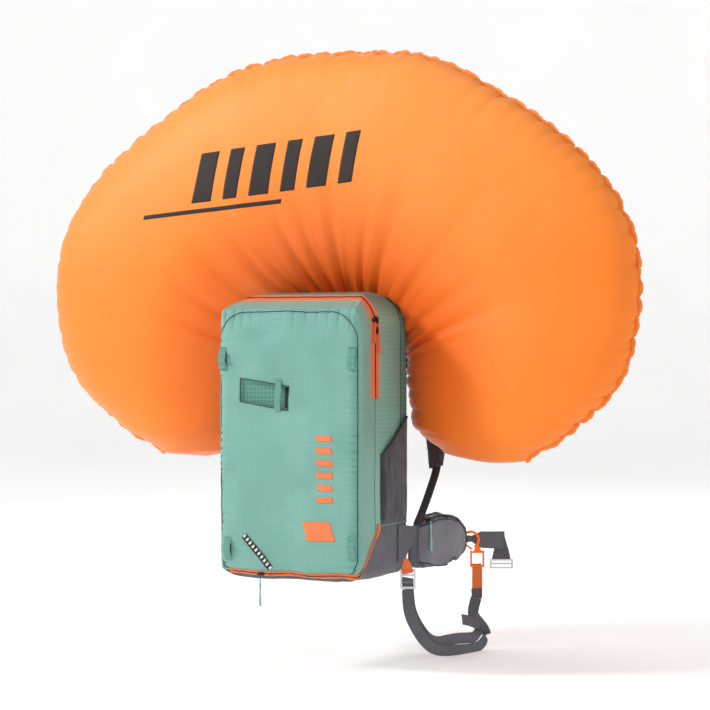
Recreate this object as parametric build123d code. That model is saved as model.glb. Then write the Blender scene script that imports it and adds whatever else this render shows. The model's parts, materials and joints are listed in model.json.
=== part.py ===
from build123d import *
import os
from math import cos, hypot, radians, sin, tan

# Avalanche airbag backpack with its airbag inflated. Millimetres, +Z up.
# The origin is the middle of the lumbar pad's face, on the wearer's side.
# The wearer is on the +Y side, the pack's outer face looks along -Y, and the
# wearer's right is +X.

os.makedirs("parts", exist_ok=True)

# ---------------------------------------------------------------- driving sizes
WIDTH = 328.0
FRONT_Y = -262.0
BACK_Y = -14.0
BASE_Z = -90.0
PEAK_Y, PEAK_Z = -90.0, 510.0
BACK_TOP_Z = 475.0
SEAM_Z = 466.0
TOP_RADIUS = 78.0
BASE_RADIUS = 45.0
CLOTH = 2.0
ZIP_Y = -186.0
TAPE = 20.0
ZIP_END_Z = 284.0
FOLD_Z = 228.0
BASE_SEAM_Z = 20.0
DIVIDER_Y = -62.0
BOARD_Y = -22.0
CLEAR = 0.4
HALF = WIDTH / 2
FAR = 800.0

AIRBAG_DEPTH = 262.0
AIRBAG_INNER = 143.0
AIRBAG_BACK_Y = 30.0
ARCH_Z = 340.0

STRAP_HINGE = (58.0, -2.0, 378.0)
VIEW_TURN = 26.0


# ---------------------------------------------------------------- small helpers
def save(name, *solids):
    """Write one sub-part, as one solid or as a group of separate solids."""
    pieces = [s for item in solids for s in item.solids()]
    export_step(pieces[0] if len(pieces) == 1 else Compound(children=pieces), f"parts/{name}.step")


def brick(low, high):
    """A box between two corners."""
    size = [h - l for l, h in zip(low, high)]
    middle = [(h + l) / 2 for l, h in zip(low, high)]
    return Pos(*middle) * Box(*size)


def side_prism(points, x0, x1):
    """A polygon given as (y, z) points, extruded from x0 to x1."""
    face = make_face(Polyline(*points, close=True))
    return Pos(x0, 0, 0) * extrude(Plane.YZ * face, x1 - x0)


def front_prism(points, y0, y1):
    """A polygon given as (x, z) points, extruded from y0 to y1."""
    face = make_face(Polyline(*points, close=True))
    return Pos(0, y1, 0) * extrude(Plane.XZ * face, y1 - y0)


def mirrored(solid):
    return mirror(solid, about=Plane.YZ)


def biggest(shape):
    return shape.solids().sort_by(SortBy.VOLUME)[-1]


def band(stations):
    """A strap lofted through (point, width, thickness) stations, width along X where it can be."""
    faces = []
    for i, (point, width, thick) in enumerate(stations):
        before = Vector(*stations[max(i - 1, 0)][0])
        after = Vector(*stations[min(i + 1, len(stations) - 1)][0])
        tangent = (after - before).normalized()
        across = (Vector(1, 0, 0) - tangent * tangent.X).normalized()
        plane = Plane(origin=point, x_dir=across, z_dir=tangent)
        faces.append(plane * Rectangle(width, thick))
    return loft(faces, ruled=True)


def upright_band(stations):
    """A strap or fin lofted through ((x, y), low z, high z, thickness) stations along the hip."""
    faces = []
    for i, ((x, y), low, high, thick) in enumerate(stations):
        before = Vector(*stations[max(i - 1, 0)][0], 0)
        after = Vector(*stations[min(i + 1, len(stations) - 1)][0], 0)
        tangent = (after - before).normalized()
        plane = Plane(origin=(x, y, (low + high) / 2), x_dir=(0, 0, 1), z_dir=tangent)
        faces.append(plane * Rectangle(high - low, thick))
    return loft(faces, ruled=True)


def cord_tube(name, points, diameter):
    """A free cord's tube: straight runs joined by arcs as large as the two runs allow."""
    vectors = [Vector(*p) for p in points]
    radii = []
    for a, b, c in zip(vectors, vectors[1:], vectors[2:]):
        turn = (b - a).get_angle(c - b)
        shorter = min((b - a).length, (c - b).length)
        radii.append(0.45 * shorter / tan(radians(turn) / 2))
    path = FilletPolyline(*points, radius=radii)
    tube = sweep(Plane(origin=path @ 0, z_dir=path % 0) * Circle(diameter / 2), path=path)
    section = 3.14159 * diameter**2 / 4
    print(name, "length", round(path.length, 1), "smallest radius", round(min(radii), 1),
          "volume ratio", round(tube.volume / (section * path.length), 4))
    return tube


# ---------------------------------------------------------------- the bag's outer form
def front_outline(inset):
    half = HALF - inset
    low, high = BASE_Z + inset, PEAK_Z - inset
    points = [(-half, low), (half, low), (half, high), (-half, high)]
    radii = [BASE_RADIUS - inset] * 2 + [TOP_RADIUS - inset] * 2
    return make_face(FilletPolyline(*points, radius=radii, close=True))


def side_outline(inset):
    low = BASE_Z + inset
    front, back = FRONT_Y + inset, BACK_Y - inset
    points = [
        (front, low), (back, low), (back, BACK_TOP_Z - inset),
        (PEAK_Y, PEAK_Z - inset), (-175, 496 - inset), (front, SEAM_Z - inset),
    ]
    radii = [40 - inset, 18 - inset, 16 - inset, 90, 90, 16 - inset]
    return make_face(FilletPolyline(*points, radius=radii, close=True))


def plan_outline(inset):
    half = HALF - inset
    front, back = FRONT_Y + inset, BACK_Y - inset
    points = [(-half, front), (half, front), (half, back), (-half, back)]
    return make_face(FilletPolyline(*points, radius=[22 - inset] * 2 + [26 - inset] * 2, close=True))


def pack_block(inset=0.0):
    """The bag as a solid block: its front, side and plan outlines in common."""
    front = extrude(Plane.XZ * front_outline(inset), FAR, both=True)
    side = extrude(Plane.YZ * side_outline(inset), FAR, both=True)
    plan = extrude(Plane.XY * plan_outline(inset), FAR, both=True)
    return front & side & plan


BLOCK = pack_block()
CAVITY = pack_block(CLOTH)
SHELL = BLOCK - CAVITY

# The base seam rises along the sides, as (y, z) points from the front to the back.
BASE_SEAM = [(-300, -80), (-255, -78), (-240, -62), (-226, -43), (-200, -12), (-173, 14)]
BASE_SEAM_SHIFT = (-5.0, 7.0)


def base_zone():
    rest = [(-161, BASE_SEAM_Z), (10, BASE_SEAM_Z), (10, -130), (-300, -130)]
    return side_prism(BASE_SEAM + rest, -FAR, FAR)


def base_zip_zone():
    dy, dz = BASE_SEAM_SHIFT
    shifted = [(y + dy, z + dz) for y, z in reversed(BASE_SEAM)]
    return side_prism(BASE_SEAM + shifted, -FAR, FAR)


def fold_line(y, gap):
    """Height of the flap's diagonal fold at depth y."""
    return FOLD_Z + (y - FRONT_Y) + gap


def flap_zone(gap):
    back = ZIP_Y - CLEAR
    points = [(-300, fold_line(-300, gap)), (back, fold_line(back, gap)), (back, 600), (-300, 600)]
    return side_prism(points, -FAR, FAR)


# ---------------------------------------------------------------- bag panels
SLOT = [(-107, 277), (-107, 325), (5, 309), (5, 259)]
SLOT_DEPTH = 14.0


def inner_slot(margin):
    return [(-107 + margin, 277 + margin), (-107 + margin, 325 - margin),
            (5 - margin, 309 - margin), (5 - margin, 259 + margin)]


def front_parts():
    tape = brick((-FAR, ZIP_Y - CLEAR - TAPE, ZIP_END_Z), (FAR, ZIP_Y - CLEAR, FAR))
    above = SHELL & flap_zone(CLEAR)
    slot_hole = front_prism(SLOT, FRONT_Y - 20, FRONT_Y + 20)
    save("front_flap", (above - tape) - slot_hole)
    save("flap_zip_tape", above & tape)
    below = SHELL & brick((-FAR, -300, -200), (FAR, ZIP_Y + 4, 400))
    below = below - base_zone() - base_zip_zone() - flap_zone(-CLEAR)
    below = below - brick((-FAR, ZIP_Y - CLEAR, ZIP_END_Z), (FAR, ZIP_Y + 4, 400))
    save("lower_front", biggest(below))


def tool_slot():
    """A shallow pocket behind the flap's slanted slot, with a keeper strap across its right end."""
    tray = front_prism(SLOT, FRONT_Y + 0.2, FRONT_Y + SLOT_DEPTH)
    tray = tray - front_prism(inner_slot(CLOTH), FRONT_Y - 1, FRONT_Y + SLOT_DEPTH - CLOTH)
    keeper_x = -18.0
    keeper = brick((keeper_x - 7, FRONT_Y + 0.2, 255), (keeper_x + 7, FRONT_Y + 2.2, 330))
    keeper = keeper & front_prism(inner_slot(CLOTH), -300, -200)
    save("tool_slot", tray, keeper)


LOOP_PLACES = {
    "ski_loops_upper": [(-146, 344, 385), (147, 345, 385)],
    "ski_loops_lower": [(-136, -48, -7), (147, -38, 4)],
}
LOOP_WIDTH = 15.0
LOOP_STAND = 10.0


def ski_loops():
    """Webbing loops that stand off the front, open from side to side."""
    for name, places in LOOP_PLACES.items():
        loops = []
        for x, low, high in places:
            outer = brick((x - LOOP_WIDTH / 2, FRONT_Y - LOOP_STAND, low), (x + LOOP_WIDTH / 2, -252, high))
            gap = brick((x - 20, FRONT_Y - LOOP_STAND + 2, low + 5), (x + 20, -240, high - 5))
            loops.append(outer - gap - BLOCK)
        save(name, *[s for loop in loops for s in loop.solids()])


def gusset_parts():
    main = SHELL & brick((-FAR, ZIP_Y, BASE_SEAM_Z), (FAR, DIVIDER_Y, FAR))
    main = main - base_zone() - base_zip_zone()
    tape = brick((-FAR, ZIP_Y, ZIP_END_Z), (FAR, ZIP_Y + TAPE, FAR))
    main_only = main - tape - brick((-FAR, ZIP_Y - 1, -200), (FAR, ZIP_Y + 4, ZIP_END_Z))
    save("main_gusset", biggest(main_only))
    save("main_zip_tape", main & tape)
    rear = SHELL & brick((-FAR, DIVIDER_Y, BASE_SEAM_Z), (FAR, BOARD_Y, FAR))
    burst_slit = brick((-30, -60.5, 440), (30, -24.5, FAR))
    save("rear_gusset", rear - burst_slit)


def base_parts():
    save("base_shell", SHELL & base_zone() & brick((-FAR, -300, -200), (FAR, BOARD_Y, 100)))
    zip_band = SHELL & base_zip_zone()
    tab = side_prism([(-178, 2), (-168, 10), (-171, 24), (-182, 16)], HALF + 0.3, HALF + 3)
    save("base_zip_tape", zip_band, tab)


POCKET = [(-164, 24), (-164, 166), (-44, 243), (-34, 243), (-34, 24)]
POCKET_BULGE = 9.0


def side_pockets():
    """Stretch pockets on the gusset's sides, open along their sloping top edge."""
    skin = pack_block(-POCKET_BULGE) - BLOCK
    room = pack_block(-POCKET_BULGE + CLOTH) - BLOCK
    inside = [(-161, 27), (-161, 180), (-44, 256), (-37, 260), (-37, 27)]
    right = (skin & side_prism(POCKET, 100, 200)) - (room & side_prism(inside, 100, 200))
    right = biggest(right)
    save("side_pocket_right", right)
    save("side_pocket_left", mirrored(right))


def dividers():
    front = CAVITY & brick((-FAR, ZIP_Y + 0.2, -200), (FAR, ZIP_Y + 1.7, FAR))
    rear = CAVITY & brick((-FAR, DIVIDER_Y, -200), (FAR, DIVIDER_Y + 1.5, FAR))
    save("dividers", front, rear)


def back_parts():
    save("back_panel", BLOCK & brick((-FAR, BOARD_Y, -200), (FAR, 0, FAR)))
    lumbar = Plane.XZ * RectangleRounded(190, 124, 24)
    side_pad = Plane.XZ * RectangleRounded(70, 260, 28)
    pads = [lumbar, Pos(72, 0, 210) * side_pad, Pos(-72, 0, 210) * side_pad]
    save("back_pads", *[extrude(face, -BACK_Y) for face in pads])
    stays = [brick((x - 7, BOARD_Y - 3, -84), (x + 7, BOARD_Y, 440)) for x in (-95, 95)]
    save("frame_stays", *stays)


def harness_yoke():
    """The plate that the shoulder straps are sewn to, and the haul loop above it."""
    yoke = brick((-95, BACK_Y, 352), (95, BACK_Y + 3, 420))
    front, back = BACK_Y + 3, BACK_Y + 21
    loop = brick((-26, front, 398), (26, back, 418)) - brick((-24, front, 390), (24, back - 2, 430))
    save("harness_yoke", yoke + loop)


# ---------------------------------------------------------------- straps and hardware on the front and base
def tool_strap():
    """A narrow patterned strap slanting down over the lower front."""
    x0, z0, x1, z1 = -94.0, -2.0, -40.0, -62.0
    length = hypot(x1 - x0, z1 - z0)
    ux, uz = (x1 - x0) / length, (z1 - z0) / length
    nx, nz = -uz * 7, ux * 7
    corners = [(x0 + nx, z0 + nz), (x1 + nx, z1 + nz), (x1 - nx, z1 - nz), (x0 - nx, z0 - nz)]
    save("tool_strap", front_prism(corners, FRONT_Y - 4, FRONT_Y - 1) - BLOCK)


def strap_wings():
    """Triangular wings on the base's sides, whose tips hold the shoulder straps' lower webbing."""
    outline = [(-82, 19), (-22, 12), (-20, 0), (-56, -52), (-82, -60)]
    plate = side_prism(outline, -1.5, 1.5)
    lean = 12.0
    right = Pos(HALF + 2.5, -82, 0) * Rot(0, 0, -lean) * Pos(0, 82, 0) * plate
    right = right - BLOCK
    save("strap_wings", right, mirrored(right))


HARDWARE = Plane(origin=(0, 0, 0), x_dir=(cos(radians(VIEW_TURN)), sin(radians(VIEW_TURN)), 0),
                 z_dir=(sin(radians(VIEW_TURN)), -cos(radians(VIEW_TURN)), 0))


def plate(origin, corners, thick):
    """A flat plate in the hardware plane at origin, from (across, up) corners."""
    plane = Plane(origin=origin, x_dir=HARDWARE.x_dir, z_dir=HARDWARE.z_dir)
    face = plane * make_face(Polyline(*corners, close=True))
    return extrude(face, thick / 2, both=True)


def rectangle_plate(origin, u0, u1, v0, v1, thick):
    return plate(origin, [(u0, v0), (u1, v0), (u1, v1), (u0, v1)], thick)


BUCKLE_PIVOT = (165.0, -29.0, -82.0)


def leg_anchor():
    """The orange anchor tab on the base and the ladder-lock buckle that hangs from it."""
    top, foot = Vector(171, -54, -54), Vector(165.0, -32.4, -76.6)
    down = (foot - top).normalized()
    across = (HARDWARE.x_dir - down * HARDWARE.x_dir.dot(down)).normalized()
    faces = [Plane(origin=p, x_dir=across, z_dir=down) * Rectangle(w, 2.2) for p, w in ((top, 9), (foot, 24))]
    save("leg_strap_tab", biggest(loft(faces, ruled=True) - BLOCK))
    frame = rectangle_plate(BUCKLE_PIVOT, -16, 16, -38, 4, 3.2)
    for v0, v1 in ((-7, -1), (-20, -11), (-33, -24)):
        frame = frame - rectangle_plate(BUCKLE_PIVOT, -12.5, 12.5, v0, v1, 10)
    save("leg_buckle", frame)


# The leg strap runs from the buckle, down and along the bottom of its loop, round the right end
# and up to the orange end under the hook. The tail hangs beside it from the same buckle.
LEG_STRAP_ROUTE = [
    (164.5, -29, -122), (164.5, -28, -149), (165, -18, -178), (167, 8, -207), (171, 39, -236),
    (176, 77, -259), (184, 122, -267), (193, 166, -269), (202, 208, -273), (208.5, 247, -272),
    (213.5, 275, -259), (212, 281, -238), (203, 262, -218), (198, 240, -201), (202, 236, -182),
    (206.5, 240, -162.5),
]
LEG_TAIL_ROUTE = [
    (161, -19, -122), (161.5, -17, -148), (162.5, -5, -176), (165, 24, -206), (169, 57, -233),
    (174, 96, -246), (181, 135, -246), (189, 174, -245), (197, 216, -249), (202, 243, -250),
    (206.5, 262, -232), (200, 238, -214), (191, 200, -207),
]
STRAP_TUBE = 8.0


def leg_straps():
    save("leg_strap", cord_tube("leg_strap", LEG_STRAP_ROUTE, STRAP_TUBE))
    save("leg_strap_tail", cord_tube("leg_strap_tail", LEG_TAIL_ROUTE, STRAP_TUBE))


HOOK = (191.0, 245.0, -36.0)
HOOK_THICK = 5.0
GATE_PIVOT = (3.0, -21.0)
GATE_TIP = (-16.0, -7.0)


def ring_sector(origin, inner, outer, start, end, thick):
    """A flat ring between two angles in the hardware plane, in degrees."""
    steps = 28
    angles = [radians(start + (end - start) * i / steps) for i in range(steps + 1)]
    outside = [(outer * cos(a), outer * sin(a)) for a in angles]
    inside = [(inner * cos(a), inner * sin(a)) for a in reversed(angles)]
    return plate(origin, outside + inside, thick)


def leg_hook():
    """The orange hook: an open ring, a leg and a frame for the webbing, closed by a sprung gate."""
    ring = ring_sector(HOOK, 15, 20.5, -62, 188, HOOK_THICK)
    frame = rectangle_plate(HOOK, -1, 30, -60, -24, HOOK_THICK) - rectangle_plate(HOOK, 3, 26, -55, -29, 20)
    leg = plate(HOOK, [(9, -17), (17, -11), (24, -25), (8, -25)], HOOK_THICK)
    gate_length = hypot(GATE_TIP[0] - GATE_PIVOT[0], GATE_TIP[1] - GATE_PIVOT[1])
    ux, uz = (GATE_TIP[0] - GATE_PIVOT[0]) / gate_length, (GATE_TIP[1] - GATE_PIVOT[1]) / gate_length
    a, b = GATE_PIVOT, GATE_TIP
    nx, nz = -uz * 2, ux * 2

    def beside(point, along, across):
        return (point[0] + ux * along + nx * across, point[1] + uz * along + nz * across)

    gate = plate(HOOK, [beside(a, 0, 1), beside(b, 0, 1), beside(b, 0, -1), beside(a, 0, -1)], 4)
    room = plate(HOOK, [beside(a, -4, 1.6), beside(b, 2, 1.6), beside(b, 2, -6), beside(a, -4, -1.6)], 20)
    save("leg_hook", biggest((ring + frame + leg) - room))
    save("hook_gate", gate)
    save("leg_strap_end", rectangle_plate(HOOK, 3.5, 25.5, -126, -60.3, 4))


# ---------------------------------------------------------------- hip belt
FIN_PAD = [
    ((156, -16), -74, 0, 7), ((161, 8), -83, 20, 7), ((167, 38), -87, 38, 7), ((173, 100), -88, 40, 7),
    ((178, 160), -80, 28, 7), ((181, 205), -66, 6, 6), ((182, 234), -50, -14, 5),
]
FIN_POCKET = [
    ((166, 10), -70, 14, 1.5), ((178, 42), -82, 32, 15), ((187, 100), -84, 34, 19),
    ((190, 160), -76, 22, 15), ((188.5, 205), -62, 2, 8), ((186.6, 230), -48, -18, 2.5),
]
HIP_WEBBING = [
    ((182.5, 235), -42, -24, 2), ((191, 247), -39, -25, 2), ((202, 272), -54, -19, 2),
    ((232, 338), -62, -22, 2),
]


def hip_belt():
    """Padded fins with zipped pockets, and the belt webbing; the right end folds down to its buckle."""
    pad = upright_band(FIN_PAD)
    pocket = upright_band(FIN_POCKET) - pad
    webbing = upright_band(HIP_WEBBING)
    fold_at = (224, 341.5, -24)
    folded = rectangle_plate(fold_at, -22, 22, -60, 0, 2)
    buckle = rectangle_plate(fold_at, -26, 26, -82, -61, 3)
    for v0, v1 in ((-69, -64.5), (-78.5, -73)):
        buckle = buckle - rectangle_plate(fold_at, -22, 22, v0, v1, 20)
    save("hip_fin_right", pad)
    save("hip_fin_left", mirrored(pad))
    save("hip_pocket_right", biggest(pocket))
    save("hip_pocket_left", mirrored(biggest(pocket)))
    save("hip_webbing_right", webbing - folded, folded - webbing)
    save("hip_webbing_left", mirrored(webbing))
    save("hip_buckle", buckle)


# ---------------------------------------------------------------- shoulder harness
SHOULDER = [
    (STRAP_HINGE, 48, 10), ((60, 12, 404), 56, 12), ((66, 42, 422), 60, 12), ((77, 82, 422), 62, 12),
    ((92, 118, 396), 62, 12), ((108, 144, 350), 62, 12), ((126, 156, 292), 60, 12),
    ((144, 150, 232), 56, 12), ((159, 130, 176), 50, 12), ((169, 108, 128), 36, 9),
]
STERNUM_Y, STERNUM_Z = 148.0, 322.0


def shoulder_straps():
    right = band(SHOULDER)
    save("shoulder_strap_right", right)
    save("shoulder_strap_left", mirrored(right))
    webbing = band([((170.5, 102, 117), 18, 2), ((176, 44, 66), 18, 2), ((180, -14, 17), 18, 2)])
    save("lower_webbing", webbing, mirrored(webbing))
    return right


def sternum_strap(strap):
    """The chest strap: a clip on each shoulder strap's inner edge, its webbing and a buckle half."""
    y0, y1 = STERNUM_Y - 1, STERNUM_Y + 1
    low, high = STERNUM_Z - 10, STERNUM_Z + 10
    clip = brick((68, STERNUM_Y - 5, low - 4), (78.5, STERNUM_Y + 5, high + 4))
    male = brick((6, STERNUM_Y - 4, low - 3), (24, STERNUM_Y + 4, high + 3))
    prongs = [brick((-10, STERNUM_Y - 2, z - 3), (6, STERNUM_Y + 2, z + 3)) for z in (low + 2, high - 2)]
    right = clip + brick((24, y0, low), (68, y1, high)) + male + prongs[0] + prongs[1]
    female = brick((-24, STERNUM_Y - 5, low - 4), (5, STERNUM_Y + 5, high + 4))
    female = female - brick((-12, STERNUM_Y - 3, low - 2.5), (6, STERNUM_Y + 3, high + 2.5))
    left = mirrored(clip) + mirrored(brick((24, y0, low), (68, y1, high))) + female
    save("sternum_half_right", right - strap)
    save("sternum_half_left", left - mirrored(strap))


POUCH = Pos(-136.0, 165.0, 258.0)


def trigger(strap):
    """The release handle in its pouch on the left shoulder strap; it pulls straight down."""
    pouch = brick((-18, -12, -30), (18, 7, 32)) - brick((-13, -1.5, -31), (13, 5, 29))
    save("trigger_pouch", biggest(POUCH * pouch - mirrored(strap)))
    stem = brick((-11, -0.5, -32), (11, 4, 25))
    grip = brick((-24, -2, -48), (24, 9, -32))
    save("trigger_handle", POUCH * (stem + grip))


# ---------------------------------------------------------------- zip sliders and pulls
UPPER_SLIDER_Z = 444.0
MAIN_SLIDER_Z = 424.0
SIDE_X = HALF + CLEAR
BASE_SLIDER = (-63.0, -254.0, -79.0)


def slider_body(y0, y1, z):
    """A slider on the bag's side: a body and the bridge that its pull hangs from."""
    body = brick((SIDE_X, y0, z - 8), (SIDE_X + 3.5, y1, z + 8))
    return body + brick((SIDE_X + 3.5, y0 + 3, z - 5), (SIDE_X + 6, y1 - 3, z + 4))


def zip_hardware():
    upper = slider_body(ZIP_Y - 6, ZIP_Y + 6, UPPER_SLIDER_Z)
    arm = brick((SIDE_X, ZIP_Y - 16, UPPER_SLIDER_Z - 3), (SIDE_X + 3.5, ZIP_Y - 6, UPPER_SLIDER_Z + 3))
    save("upper_slider", upper + arm)
    save("main_slider", slider_body(ZIP_Y - 6, ZIP_Y + 6, MAIN_SLIDER_Z))
    x, y, z = BASE_SLIDER
    body = Pos(x, y, z) * Rot(-46, 0, 0) * Pos(0, -3.2, 0) * Box(14, 3.6, 10)
    save("base_slider", body - BLOCK)


PULL_DIAMETER = 3.4
UPPER_PULL = [(170.2, -199, 440), (170.6, -200, 426), (170.1, -201.5, 412), (170.3, -203, 397)]
MAIN_PULL = [(172.4, -186, 419), (172.9, -185.4, 405), (172.2, -184.6, 391), (172.6, -183.4, 377)]
BASE_PULL = [(-63, -261, -87), (-62.4, -261.4, -106), (-63.4, -261, -125), (-62.6, -261.2, -144)]
HIP_PULL = [(187, 38, 22), (187.8, 37.6, 2), (188.8, 37.2, -20), (189, 37, -44)]


def pulls():
    save("upper_pull", cord_tube("upper_pull", UPPER_PULL, PULL_DIAMETER))
    save("main_pull", cord_tube("main_pull", MAIN_PULL, PULL_DIAMETER))
    save("base_pull", cord_tube("base_pull", BASE_PULL, PULL_DIAMETER))
    hip = cord_tube("hip_pull", HIP_PULL, PULL_DIAMETER)
    save("hip_pull_right", hip)
    save("hip_pull_left", mirrored(hip))


# ---------------------------------------------------------------- airbag
# Sections from one lobe's foot to the top: middle (x, z), outward direction, half width, half depth.
AIRBAG_STATIONS = [
    ((338, 154), (1.0, -0.05), 62, 30),
    ((336, 192), (1.0, -0.05), 150, 90),
    ((384, 295), (1.0, -0.03), 238, 126),
    ((415, 478), (0.928, 0.371), 292, AIRBAG_DEPTH / 2),
    ((243, 680), (0.588, 0.81), 273, AIRBAG_DEPTH / 2),
    ((135, 733), (0.343, 0.939), 272, AIRBAG_DEPTH / 2),
    ((0, 747), (0.0, 1.0), 264, AIRBAG_DEPTH / 2),
]
AIRBAG_LEAN = 0.12
AIRBAG_SKIN = 1.5


def airbag_section(middle, outward, half_width, half_depth):
    """An ellipse across the horseshoe, whose outer side leans to the front."""
    x, z = middle
    ox, oz = outward
    reach = hypot(x, z - ARCH_Z) - AIRBAG_INNER
    across = Vector(ox, -AIRBAG_LEAN, oz)
    place = Plane(origin=(x, AIRBAG_BACK_Y - AIRBAG_LEAN * reach, z), x_dir=across, z_dir=(-oz, 0, ox))
    return place * Ellipse(half_width, half_depth)


def airbag_form(inset):
    """A horseshoe cushion that rests against the bag's top and back edges, drawn in by inset.

    One half is lofted past the top to the other side's shoulder, cut at the middle and mirrored.
    """
    sections = []
    for (x, z), outward, width, depth in AIRBAG_STATIONS:
        lift = inset if z < 160 else 0
        sections.append(airbag_section((x, z + lift), outward, width - inset, depth - inset))
    (x, z), (ox, oz), width, depth = AIRBAG_STATIONS[-2]
    sections.append(airbag_section((-x, z), (-ox, oz), width - inset, depth - inset))
    half = loft(sections) & brick((0, -FAR, -FAR), (FAR, FAR, 2 * FAR))
    return biggest((half + mirrored(half)) - pack_block(-1.0 - inset))


def airbag():
    """The hollow airbag, with the inlet that its neck is sewn to."""
    inlet = brick((-26, -56, 440), (26, -28, 505))
    return biggest(airbag_form(0) - airbag_form(AIRBAG_SKIN) - inlet)


def inflation_parts(bag):
    neck = brick((-28, -58, 447), (28, -26, 512)) - brick((-26, -56, 440), (26, -28, 520))
    save("airbag_neck", biggest(neck - bag))
    save("airbag", bag)


UNIT_LOW = (-72.0, -57.0, 262.0)
UNIT_HIGH = (72.0, -27.0, 412.0)
UNIT_WALL = 2.0
DUCT_HALF = 25.0
DUCT_LENGTH = 34.0
FAN = (30.0, -48.0, 362.0)
FAN_RADIUS = 34.0
BLADE_COUNT = 12
SHAFT_RADIUS = 2.0
SHAFT_CLEARANCE = 0.06
MOTOR_RADIUS = 15.0


def inflator_case():
    """The fan unit's housing with its outlet duct, and the cover on its open side."""
    (x0, y0, z0), (x1, y1, z1) = UNIT_LOW, UNIT_HIGH
    wall, duct = UNIT_WALL, DUCT_HALF
    housing = brick(UNIT_LOW, UNIT_HIGH)
    housing = housing - brick((x0 + wall, y0 - 1, z0 + wall), (x1 - wall, y1 - wall, z1 - wall))
    way = brick((wall - duct, y0 + wall, z1 - 5), (duct - wall, y1 - wall, z1 + DUCT_LENGTH + 1))
    outlet = brick((-duct, y0, z1), (duct, y1, z1 + DUCT_LENGTH))
    save("inflator_housing", (housing + outlet) - way)
    save("inflator_cover", brick((x0, y0 - 2.6, z0), (x1, y0 - 0.1, z1)))
    gap = 0.6
    low = (wall - duct + gap, y0 + wall + gap, z1 + 12)
    high = (duct - wall - gap, y1 - wall - 2 * gap, z1 + 13.2)
    save("check_valve", brick(low, high))
    save("power_switch", brick((x0 - 5, -48, 372), (x0 - CLEAR, -36, 388)))


def fan():
    """The radial fan: a disc with blades on a shaft that runs in the motor's bore."""
    x, y, z = FAN
    facing = Rot(90, 0, 0)
    wheel = Pos(x, y, z) * facing * Cylinder(FAN_RADIUS, 2)
    wheel = wheel + Pos(x, y + 5, z) * facing * Cylinder(SHAFT_RADIUS, 10)
    for i in range(BLADE_COUNT):
        wheel = wheel + Pos(x, y, z) * Rot(0, 360 / BLADE_COUNT * i, 0) * Pos(0, -4.5, 22) * Box(1.6, 7.5, 20)
    save("fan_impeller", wheel)
    bore = Pos(x, y + 7, z) * facing * Cylinder(SHAFT_RADIUS + SHAFT_CLEARANCE, 12)
    save("fan_motor", Pos(x, y + 11, z) * facing * Cylinder(MOTOR_RADIUS, 16) - bore)


def power_store():
    save("supercapacitors", *[Pos(x, -43.5, 302) * Cylinder(12.5, 66) for x in (-54, -26)])
    save("battery_cells", *[Pos(x, -46, 300) * Cylinder(7.2, 50) for x in (8, 25)])
    save("control_board", brick((-4, -33, 270), (60, -31.2, 322)))


def main():
    front_parts()
    tool_slot()
    ski_loops()
    gusset_parts()
    base_parts()
    side_pockets()
    dividers()
    back_parts()
    harness_yoke()
    tool_strap()
    strap_wings()
    leg_anchor()
    leg_straps()
    leg_hook()
    hip_belt()
    strap = shoulder_straps()
    sternum_strap(strap)
    trigger(strap)
    zip_hardware()
    pulls()
    inflation_parts(airbag())
    inflator_case()
    fan()
    power_store()


main()
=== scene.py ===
import math

import bmesh
import bpy
import numpy as np
from mathutils import Matrix, Vector
from mathutils.bvhtree import BVHTree
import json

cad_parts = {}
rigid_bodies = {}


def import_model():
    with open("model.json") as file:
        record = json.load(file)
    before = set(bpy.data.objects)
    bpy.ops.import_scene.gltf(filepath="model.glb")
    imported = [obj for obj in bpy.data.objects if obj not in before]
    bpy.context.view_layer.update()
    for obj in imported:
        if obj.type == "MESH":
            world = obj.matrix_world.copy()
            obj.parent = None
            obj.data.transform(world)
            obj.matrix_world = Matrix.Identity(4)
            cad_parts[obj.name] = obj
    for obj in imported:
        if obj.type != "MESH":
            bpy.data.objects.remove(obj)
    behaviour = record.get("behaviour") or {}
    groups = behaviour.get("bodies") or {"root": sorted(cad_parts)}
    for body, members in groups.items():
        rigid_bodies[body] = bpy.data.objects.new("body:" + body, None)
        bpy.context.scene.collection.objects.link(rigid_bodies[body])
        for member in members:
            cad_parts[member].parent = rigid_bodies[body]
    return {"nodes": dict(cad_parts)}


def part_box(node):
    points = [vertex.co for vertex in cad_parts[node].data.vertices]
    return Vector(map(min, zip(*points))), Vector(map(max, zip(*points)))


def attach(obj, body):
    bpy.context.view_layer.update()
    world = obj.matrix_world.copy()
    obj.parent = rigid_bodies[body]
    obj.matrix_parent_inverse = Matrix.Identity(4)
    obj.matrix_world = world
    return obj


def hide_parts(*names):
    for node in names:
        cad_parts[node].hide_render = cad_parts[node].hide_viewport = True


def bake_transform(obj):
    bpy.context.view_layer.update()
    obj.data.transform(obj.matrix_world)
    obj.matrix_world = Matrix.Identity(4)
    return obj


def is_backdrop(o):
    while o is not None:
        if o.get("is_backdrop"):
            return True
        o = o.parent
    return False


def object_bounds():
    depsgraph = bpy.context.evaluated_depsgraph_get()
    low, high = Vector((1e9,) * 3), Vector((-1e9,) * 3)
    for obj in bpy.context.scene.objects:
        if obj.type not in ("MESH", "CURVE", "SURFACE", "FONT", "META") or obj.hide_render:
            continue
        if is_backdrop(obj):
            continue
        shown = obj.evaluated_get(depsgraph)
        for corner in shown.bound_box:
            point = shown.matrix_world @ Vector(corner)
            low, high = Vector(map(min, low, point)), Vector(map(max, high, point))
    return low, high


# The looks of the avalanche airbag backpack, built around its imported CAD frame.
# Lengths in this script are millimetres and are scaled to metres as each mesh is made.

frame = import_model()
cad_low, cad_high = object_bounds()
MM = 0.001


def corners(node):
    """A CAD node's lowest and highest corners, in millimetres."""
    low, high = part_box(node)
    return np.array(low) / MM, np.array(high) / MM


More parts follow.
